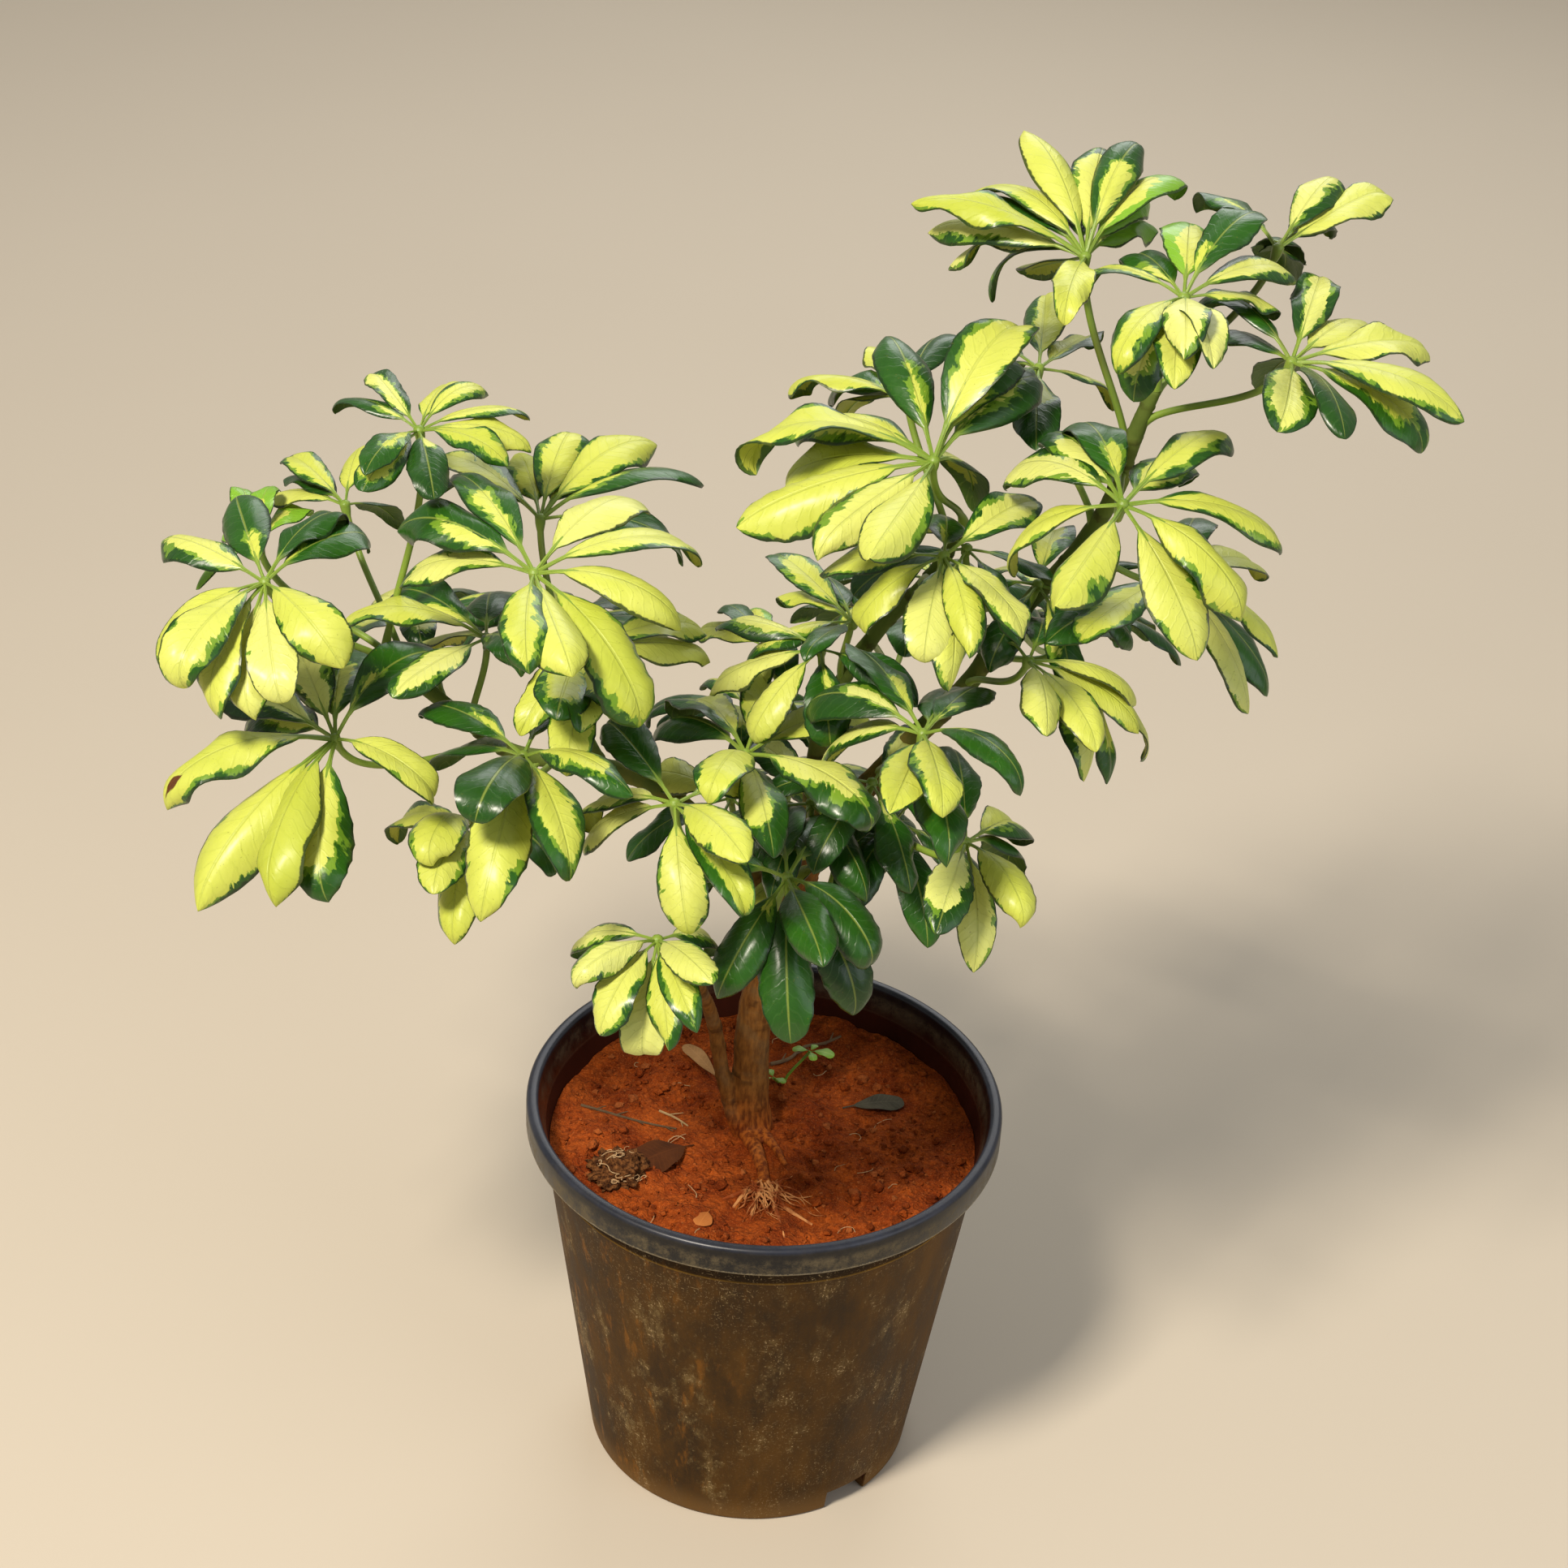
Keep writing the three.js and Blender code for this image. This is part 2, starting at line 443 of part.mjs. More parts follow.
// Half width of a leaflet at a share of its length: a narrow stalk, then a blade that is
// widest beyond its middle
function halfWidth(share, length, spread) {
  if (share <= STALK_SHARE) return STALK_HALF_WIDTH;
  const t = (share - STALK_SHARE) / (1 - STALK_SHARE);
  const outline = u => u ** OUTLINE_BASE * (1 - u) ** OUTLINE_TIP;
  return spread * length * outline(t) / outline(OUTLINE_BASE / (OUTLINE_BASE + OUTLINE_TIP));
}

// Leaflet that leaves its hub at a heading round the leaf's axis, rises and then droops
function leaflet(hub, axis, { heading, rise, droop, length, spread = BLADE_SPREAD }, grow = 0) {
  const radians = THREE.MathUtils.degToRad;
  const level = vector(1, 0, 0).addScaledVector(axis, -axis.x).normalize();
  const outward = level.applyAxisAngle(axis, radians(heading));
  const pitch = share => radians(rise) - radians(droop) * share ** DROOP_POWER;
  const along = angle => (
    outward.clone().multiplyScalar(Math.cos(angle)).addScaledVector(axis, Math.sin(angle)));
  const point = hub.clone();
  const midrib = [point.clone()];
  for (let step = 0; step < MIDRIB_STEPS; step += 1) {
    point.addScaledVector(along(pitch((step + 0.5) / MIDRIB_STEPS)), length / MIDRIB_STEPS);
    midrib.push(point.clone());
  }
  const side = axis.clone().cross(outward);
  const sections = SECTION_STEPS.map(step => {
    const share = step / MIDRIB_STEPS;
    const face = side.clone().cross(along(pitch(share))).negate();
    const width = halfWidth(share, length, spread) + grow;
    const depth = (share <= STALK_SHARE ? STALK_THICKNESS : BLADE_THICKNESS) + grow;
    const back = step === 0 ? -grow : 0;
    const top = midrib[step].clone().addScaledVector(face, grow).addScaledVector(along(pitch(0)), back);
    return [
      top.clone().addScaledVector(side, width),
      top.clone().addScaledVector(side, -width),
      top.clone().addScaledVector(face, -depth - grow),
    ];
  });
  sections.push([point.addScaledVector(along(pitch(1)), 2 * grow)]);
  return loft(sections);
}

// Curved leaf stalk that leaves its stem outwards and rises into the hub along the leaf's axis
function leafStalk(foot, hub, axis, bow) {
  const reach = hub.distanceTo(foot);
  const outward = hub.clone().sub(foot).divideScalar(reach);
  const handle = STALK_HANDLE * reach;
  const leaving = outward.multiplyScalar(STALK_OUTWARD).add(vector(0, 0, STALK_UPWARD));
  const curve = new THREE.CubicBezierCurve3(
    foot,
    foot.clone().addScaledVector(leaving, handle).add(bow),
    hub.clone().addScaledVector(axis, -handle).add(bow),
    hub);
  const points = STALK_STATIONS.map(share => curve.getPoint(share));
  const radii = STALK_STATIONS.map(() => STALK_RADIUS);
  for (const end of [-HUB_HALF_LENGTH, HUB_HALF_LENGTH]) {
    points.push(hub.clone().addScaledVector(axis, end));
    radii.push(HUB_RADIUS);
  }
  return tube(points, radii, STALK_SIDES);
}

function umbrella({ hub, lean, stem, at, bow = [0, 0, 0], leaflets }) {
  const centre = vector(...hub);
  const axis = vector(...lean, 1).normalize();
  const blades = leaflets.split(', ').map(row => {
    const [heading, rise, droop, length] = row.split(' ').map(Number);
    return leaflet(centre, axis, { heading, rise, droop, length });
  });
  const stalk = leafStalk(pointAlong(stem, at), centre, axis, vector(...bow));
  return joined([stalk, ...blades]);
}

function onEarth(x, y, lift) {
  return vector(x, y, earthHeight(x, y) + lift);
}

function fallenLeaf({ start, ...shape }, grow = 0) {
  return leaflet(onEarth(...start, FALLEN_LEAF_LIFT), vector(0, 0, 1), shape, grow);
}

function twig({ points, radius }, grow = 0) {
  const line = points.map(([x, y]) => onEarth(x, y, radius * TWIG_LIFT));
  return tube(line, line.map(() => radius), STALK_SIDES, grow);
}

// Crumbled lump of earth, rough all over
function clod(grow = 0) {
  const [x, y] = CLOD.centre;
  const [a, b, c, d] = CLOD.waves;
  const size = vector(...CLOD.size).addScalar(grow);
  const lump = new THREE.IcosahedronGeometry(1, 1);
  const places = lump.attributes.position;
  for (let i = 0; i < places.count; i += 1) {
    const corner = vector(0, 0, 0).fromBufferAttribute(places, i);
    const wave = Math.sin(a * corner.x + b * corner.y) * Math.cos(c * corner.z + d * corner.x);
    corner.multiplyScalar(1 + CLOD.roughness * wave).multiply(size);
    places.setXYZ(i, corner.x, corner.y, corner.z);
  }
  return solid(lump.translate(x, y, earthHeight(x, y) + CLOD.lift));
}

function seedlingStem(grow = 0) {
  const { foot, top, low, stemRadius, footDepth } = SEEDLING;
  const ground = onEarth(...foot, 0);
  const stem = [onEarth(...foot, -footDepth), ground, vector(...top)];
  const offshoot = [ground.clone(), vector(...low)];
  return joined([stem, offshoot].map(line => tube(line, line.map(() => stemRadius), SEEDLING_SIDES, grow)));
}

function seedling() {
  const { top, low, whorl, lowWhorl, rise, droop, spread } = SEEDLING;
  const upright = vector(0, 0, 1);
  const leaves = (hub, rows) => rows.map(([heading, length]) => (
    leaflet(vector(...hub), upright, { heading, rise, droop, length, spread })));
  return joined([seedlingStem(), ...leaves(top, whorl), ...leaves(low, lowWhorl)]);
}

// The earth has plain holes and hollows over the notches, where the stems stand and where the
// litter lies
const hollows = [
  ...notchBlocks(BASE_RADIUS - NOTCH_DEPTH - WALL - GAP, RIM_RADIUS, WALL + GAP, 0),
  framework(GAP),
  seedlingStem(GAP),
  clod(GAP),
  ...Object.values(FALLEN_LEAVES).map(shape => fallenLeaf(shape, GAP)),
  ...Object.values(TWIGS).map(shape => twig(shape, GAP)),
];

addPiece('pot', pot(), 'pot');
addPiece('earth', largest(hollows.reduce((body, hollow) => body.subtract(hollow), earth())), 'earth');
addPiece('trunk', framework(), 'bark');
const stemHollow = framework(GAP);
UMBRELLAS.forEach((shape, i) => {
  const name = `leaf_${String(i + 1).padStart(2, '0')}`;
  addPiece(name, largest(umbrella(shape).subtract(stemHollow)), shape.tone);
});
addPiece('seedling', seedling(), 'seedling');
addPiece('clod', clod(), 'clod');
for (const [name, shape] of Object.entries(FALLEN_LEAVES)) addPiece(name, fallenLeaf(shape), 'litter');
for (const [name, shape] of Object.entries(TWIGS)) addPiece(name, twig(shape), 'litter');

export default plant;
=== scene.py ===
import math
import random
from collections import namedtuple
from contextlib import contextmanager
from itertools import cycle

import bmesh
import bpy
from mathutils import Color, Matrix, Vector, noise
from mathutils.geometry import interpolate_bezier, intersect_point_line
from mathutils.kdtree import KDTree


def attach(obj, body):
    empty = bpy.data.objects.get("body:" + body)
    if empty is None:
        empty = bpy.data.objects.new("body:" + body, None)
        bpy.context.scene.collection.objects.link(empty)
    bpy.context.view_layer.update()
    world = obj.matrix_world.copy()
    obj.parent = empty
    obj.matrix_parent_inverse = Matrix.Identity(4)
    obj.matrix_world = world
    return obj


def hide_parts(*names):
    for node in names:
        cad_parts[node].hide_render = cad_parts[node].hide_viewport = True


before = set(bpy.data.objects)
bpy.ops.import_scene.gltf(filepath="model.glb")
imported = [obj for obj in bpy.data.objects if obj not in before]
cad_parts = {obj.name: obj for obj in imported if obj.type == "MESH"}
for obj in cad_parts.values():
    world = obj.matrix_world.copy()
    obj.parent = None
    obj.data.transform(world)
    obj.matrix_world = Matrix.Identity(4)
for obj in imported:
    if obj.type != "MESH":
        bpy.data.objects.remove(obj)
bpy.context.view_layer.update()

MM = 0.001
UP = Vector((0, 0, 1))
TURN = 2 * math.pi

# Camera: where it stands, how far it looks down and leans in degrees, and its lens
CAMERA_PLACE = (1, -1353, 1269.4)
CAMERA_DOWN = 32.3
CAMERA_LEAN = 3.15
CAMERA_LENS = 74.5
CAMERA_SENSOR = 36

# Lights, in metres, and the light of the sky
Light = namedtuple("Light", "place aim size power tint")
LIGHTS = {
    "key": Light((-0.95, -1.4, 2.6), (0, 0, 0.4), 0.5, 98, "#fff4e4"),
    "fill": Light((1.9, -1.2, 1.3), (0, 0, 0.4), 1.8, 14, "#eef4ff"),
    "back": Light((0.3, 2.2, 1.9), (0, 0, 0.45), 1.6, 22, "#ffffff"),
}
SKY_TINT = "#f2f0ec"
SKY_STRENGTH = 0.34
GROUND_WIDTH = 14

# Pot: a ten inch nursery pot with a turned-down lip and a fine moulded line below it. Its
# foot has two drainage notches, given by their angle round from +X, and each is lined by
# walls that reach out into the pot's own wall
POT_HEIGHT = 220
RIM_RADIUS = 125
RIM_TOP_WIDTH = 6.5
LIP_FOOT = POT_HEIGHT - 16
NECK_RADIUS = 116.5
BASE_RADIUS = 88
BASE_TURN = 2.2
TOP_TURN = RIM_TOP_WIDTH / 2.6
WALL = 2
FLOOR = 3
POT_STEPS = 144
POT_BEVEL = 0.6
NOTCH_ANGLES = (-51, 129)
NOTCH_WIDTH = 27
NOTCH_HEIGHT = 13
NOTCH_DEPTH = 12
NOTCH_LINING_REACH = 86.3
MOULD_LINE_HEIGHT = 190
MOULD_LINE = 0.35

# Earth: each wave of its surface has a height, its turn per millimetre along X and Y, and
# its start; the crumbled surface adds lumps of these sizes and heights. A small gap keeps
# the earth off the pot
EARTH_LEVEL = 192
EARTH_WAVES = [(1.8, 0.043, 0.051, 0.5), (1.1, 0.13, -0.09, 0), (0.9, 0.15, 0.11, 2)]
EARTH_LUMPS = [(19, 2.0), (7, 1.5), (3, 0.9)]
EARTH_STEPS = 320
EARTH_RING_WIDTH = 1.1
GAP = 0.3

# Loose crumbs: each kind with its finesse, number, and least and greatest radius. They keep
# off the calm earth round the litter, and their middles lie higher than the earth by a share
# of their radius. Each is smaller, narrower and flatter than its kind by shares of its own
CRUMBS = {"grain": (1, 1500, 0.5, 1.3), "lump": (2, 330, 1.3, 3.4)}
CRUMB_REACH = 0.97
CRUMB_SHRINKS = (0.6, 1)
CRUMB_DEPTHS = (0.7, 1)
CRUMB_HEIGHTS = (0.5, 0.9)
CRUMB_SHADES = (0.15, 0.8)
CRUMB_CALM = 0.6
CRUMB_KNOBS = 0.7
CRUMB_KNOB_SIZE = 1.3
CRUMB_LIFT = 0.35

# Leaflets: the stalk's share of the length, half widths as shares of the length, the powers
# that shape the outline towards the stalk and the tip, and the power of the droop. The tip
# keeps a trace of its breadth however strongly it tapers
STALK_SHARE = 0.17
STALK_HALF_WIDTH = 0.011
BLADE_SPREAD = 0.158
OUTLINE_BASE = 0.85
OUTLINE_TIP = 0.42
DROOP_POWER = 1.5
CURL_START = 0.72
BLADE_THICKNESS = 0.0075
BLADE_STEPS = 28
BLADE_LANES = 10
TIP_CROWDING = 1.35
TIP_TRACE = 0.001
MIDRIB_STEPS = 48
RIPPLES = 9

# The rib under a leaflet one long: share of its length, height and radius
RIB = [(0, -0.004, 0.0125), (0.08, -0.004, 0.0115), (0.17, -0.005, 0.0105)]
RIB += [(share, -BLADE_THICKNESS, radius)
        for share, radius in ((0.26, 0.0085), (0.45, 0.007), (0.65, 0.0055), (0.85, 0.0035))]

# How leaflets differ: the range of each habit, in degrees for curl and twist. Some tips are
# hooked, and the others curl loosely
HOOKED = 0.42
HOOKED_CURL = (40, 95)
LOOSE_CURL = (0, 38)
HABITS = {
    "fold": (0.05, 0.4),
    "camber": (0.25, 0.7),
    "wave": (0.06, 0.32),
    "waves": (1.1, 2.4),
    "phase": (0, TURN),
    "twist": (-30, 30),
    "sickle": (-0.08, 0.08),
    "ripple": (0, 0.035),
    "breadth": (1.12, 1.38),
    "taper": (0.1, 0.36),
}
Habit = namedtuple("Habit", ["curl", *HABITS])
STILL = Habit(curl=0, fold=0.1, camber=0.15, wave=0.1, waves=2, phase=0, twist=0, sickle=0,
              ripple=0, breadth=1, taper=0)

# For each colour of leaflet, the ranges of the share of the half width that the yellow heart
# fills, of its lean to one side, and of the share of the blade where it fades
HEARTS = {
    "y": {"yellow": (0.8, 1.08), "side": (-0.12, 0.12), "ending": (0.68, 0.86)},
    "m": {"yellow": (0.5, 0.72), "side": (-0.3, 0.3), "ending": (0.5, 0.75)},
    "g": {"yellow": (0.1, 0.42), "side": (-0.6, 0.6), "ending": (0.05, 0.5)},
    "d": {"yellow": (-1, -1), "side": (0, 0), "ending": (0, 0)},
    "l": {"yellow": (0.2, 0.5), "side": (-0.3, 0.3), "ending": (0.2, 0.6)},
}
SEEDS = (0, 90)

# The share of yellow leaflets that bear a brown scar
SCARRED = 0.06

# Leaf stalks: each leaves its stem outwards and upwards by these shares, and its curve is
# drawn with handles of this share of its reach
STALK_RADIUS = 1.75
STALK_FOOT_RADIUS = 3
STALK_OUTWARD = 0.6
STALK_UPWARD = 0.3
STALK_HANDLE = 0.35
STALK_STATIONS = 16
HUB_RADIUS = 2.9
HUB_HALF_LENGTH = 2.4

# The hub, as places along its axis and radii, both as shares of its own
HUB_TURN = [(-1, 0.9), (0.4, 1), (1, 0.5)]

# Stems: each row is a point on the centre line and the radius there
STEMS = {
    "trunk": [(-5, 9, 186, 11), (-8, 9, 223, 9.6), (-7, 9, 271, 9.2), (3, 8, 319, 8.8),
              (13, 6, 358, 8.6)],
    "right": [(13, 6, 358, 7.4), (32, 12, 392, 6.4), (56, 18, 423, 5.8), (86, 24, 459, 5.2),
              (113, 30, 504, 4.6), (134, 25, 538, 4.3), (150, 15, 580, 4.2),
              (154, 8, 609, 4), (161, 5, 636, 3.6)],
    "centre": [(13, 6, 358, 7), (16, 22, 385, 5.8), (17, 34, 416, 5), (26, 40, 448, 4.4),
               (44, 42, 481, 4), (68, 35, 518, 3.6), (80, 28, 549, 3.2)],
    "left": [(6, 8, 327, 7), (-28, 22, 360, 6), (-67, 26, 394, 5.2), (-103, 18, 409, 4.8),
             (-136, 8, 420, 4.3), (-160, 8, 439, 3.9), (-183, 12, 456, 3.6),
             (-197, 14, 467, 3.3)],
    "leftup": [(-89, 21, 403, 4.2), (-99, 20, 424, 3.6), (-103, 18, 448, 3.2)],
    "sucker": [(-12, 4, 189, 4.6), (-22, 4, 226, 4.2), (-28, 0, 263, 3.9), (-40, -50, 334, 3.3)],
    "rootstock": [(-5, 9, 187, 11.4), (-4, 9, 165, 10), (-2, 10, 132, 6)],
}

# Bark: the radii at which wood is new and old, what looks older than its radius, and the
# sizes and heights of its grain, its knobs and the rings that fallen leaves left
NEW_WOOD = 3.4
OLD_WOOD = 9
BROWNER = {"sucker": 0.6, "rootstock": 0.6, "trunk": 0.3}
AGE_SAMPLES = 12
BARK_VOXEL = 1.05
GRAIN_SIZE = 2.2
GRAIN_STRETCH = 0.2
GRAIN_HEIGHT = 0.25
KNOB_SIZE = 14
KNOB_HEIGHT = 0.5
RING_SPACING = 17
RING_WIDTH = 1.3
RING_HEIGHT = 0.45
RING_WANDER_SIZE = 9
RING_WANDER = 2.5

# Roots on the earth: x, y and radius, each lifted from the earth by a share of its radius
ROOT_LIFT = 0.3
SURFACE_ROOTS = [
    [(-9, 3, 5), (-1, -19, 3.6), (2, -33, 3)],
    [(-3, 4, 4), (6, -10, 2.4), (13, -23, 1.5)],
    [(2, -32, 2.6), (-6, -44, 1.8), (-12, -60, 0.8)],
    [(2, -32, 2.8), (8, -46, 2), (23, -61, 0.8)],
]
FIBRE_ROOTS = [
    [(1, -36, 2), (-7, -46, 1.6), (-13, -58, 0.8)],
    [(2, -36, 1.8), (-2, -52, 1.2), (-4, -68, 0.6)],
    [(4, -38, 2), (9, -58, 1.2), (14, -82, 0.5)],
    [(6, -42, 1.8), (15, -56, 1.2), (28, -66, 0.6)],
    [(-6, -43, 1.5), (-14, -50, 1.1), (-19, -53, 0.6)],
]

# Thin roots wander over the earth in steps, swing aside at each, and come down from a lift
# to these heights. Fine fibres start in a patch at the fork and taper, and rootlets lie
# strewn and curled
WANDER_STEPS = 5
WANDER_HEIGHTS = (0.4, 1.1)
FINE_FIBRES = 34
FIBRE_STARTS = [(-6, 10), (-50, -37)]
FIBRE_HEADINGS = (-2.4, -0.4)
FIBRE_LENGTHS = (12, 34)
FIBRE_RADII = (0.3, 0.65)
FIBRE_TAPER = 0.7
FIBRE_SWING = 0.75
FIBRE_LIFT = 5
ROOTLETS = 20
ROOTLET_REACH = 0.9
ROOTLET_LENGTHS = (4, 15)
ROOTLET_RADII = (0.16, 0.32)
ROOTLET_CURLS = (-0.7, 0.7)
ROOTLET_SWING = 0.25
ROOTLET_LIFT = 0.4

# Litter on the earth, which lies calm within a reach of it: fallen leaves are blades, and
# twigs are thin bent tubes with a sprig on each stretch
FALLEN_LEAF_LIFT = 1
TWIG_LIFT = 0.5
LITTER_REACH = 13
Fallen = namedtuple("Fallen", "start heading rise droop length spread finish light dark")
FALLEN_LEAVES = {
    "fallen_leaf_brown": Fallen((-36, -10), 215, 12, 25, 34, 0.36, "brown_leaf", "#5e3213", "#361a08"),
    "fallen_leaf_grey": Fallen((42, 30), 12, 10, 22, 34, 0.2, "grey_leaf", "#5f5a4a", "#2b2a22"),
    "fallen_leaf_tan": Fallen((-24, 42), 127, 16, 26, 36, 0.13, "tan_leaf", "#b98d5c", "#7a5530"),
    "fallen_scrap": Fallen((-25, -64), 250, 10, 16, 15, 0.36, "scrap_leaf", "#c27a3e", "#8a4a1e"),
}
Twig = namedtuple("Twig", "points radius finish light dark")
TWIGS = {
    "twig_back": Twig([(2, 64), (20, 80), (40, 92)], 1.1, "stick_bark", "#8b7355", "#4b3826"),
    "twig_long": Twig([(-98, 20), (-74, 12), (-46, 4)], 0.8, "dark_twig", "#7a6448", "#30241a"),
    "twig_short": Twig([(-56, 19), (-40, 7)], 0.7, "short_straw", "#c8ab7c", "#8a6a42"),
}
TWIG_BEND = 0.09
TWIG_HEIGHTS = (0, 0.8)
TWIG_TAPER = 0.35
SPRIG_PLACES = (0.3, 0.7)
SPRIG_LENGTHS = (5, 9)
SPRIG_TURNS = (-0.6, 0.6)
SPRIG_RISE = 1.5
SPRIG_RADII = (0.5, 0.4, 0.25)

# Clod: a crumbled lump with fine roots. Its lumps have a finesse and a height
CLOD_CENTRE = (-74, -38)
CLOD_SIZE = (14, 13, 8)
CLOD_LIFT = 2.5
CLOD_LUMPS = [(1.9, 0.4), (4.3, 0.3), (9, 0.12), (21, 0.1)]
CLOD_ROOTS = 20
CLOD_ROOT_KNOTS = 4
CLOD_ROOT_RADIUS = 0.28
CLOD_ROOT_REACH = (0.98, 1.1)
CLOD_ROOT_STRIDE = (-0.4, 0.4)

# Seedling: a weed with a whorl of four leaves and a lower one of three, each leaf given as
# heading and length
SEEDLING_FOOT = (9, 46)
SEEDLING_FOOT_DEPTH = 9
SEEDLING_TOP = (23, 50, 213)
SEEDLING_LOW = (4, 43, 199)
SEEDLING_WHORLS = {
    SEEDLING_TOP: [(175, 10), (60, 7), (345, 14), (285, 9)],
    SEEDLING_LOW: [(200, 9), (110, 8), (330, 8)],
}
SEEDLING_STEM_RADIUS = 0.8
SEEDLING_RISE = 20
SEEDLING_DROOP = 45
SEEDLING_SPREAD = 0.26

# Whorls at the back of the crown: the colours, rises and droops of their leaflets round the
# hub, how much shorter each is than the first, and the degrees that headings are rounded to
WHORL_KINDS = "gdmdgmdg"
WHORL_RISES = (15, 20, 25)
WHORL_DROOPS = (60, 70)
WHORL_TRIMS = (0, 4, 8)
HEADING_STEP = 5


def whorl(first, length, count=7):
    """Rows of a leaf at the back: its leaflets spread evenly from a first heading."""
    rows = []
    habits = zip(range(count), WHORL_KINDS, cycle(WHORL_RISES), cycle(WHORL_DROOPS), cycle(WHORL_TRIMS))
    for i, kind, rise, droop, trim in habits:
        heading = HEADING_STEP * round((first + 360 * i / count) / HEADING_STEP)
        rows.append(f"{kind} {heading} {rise} {droop} {length - trim}")
    return ", ".join(rows)


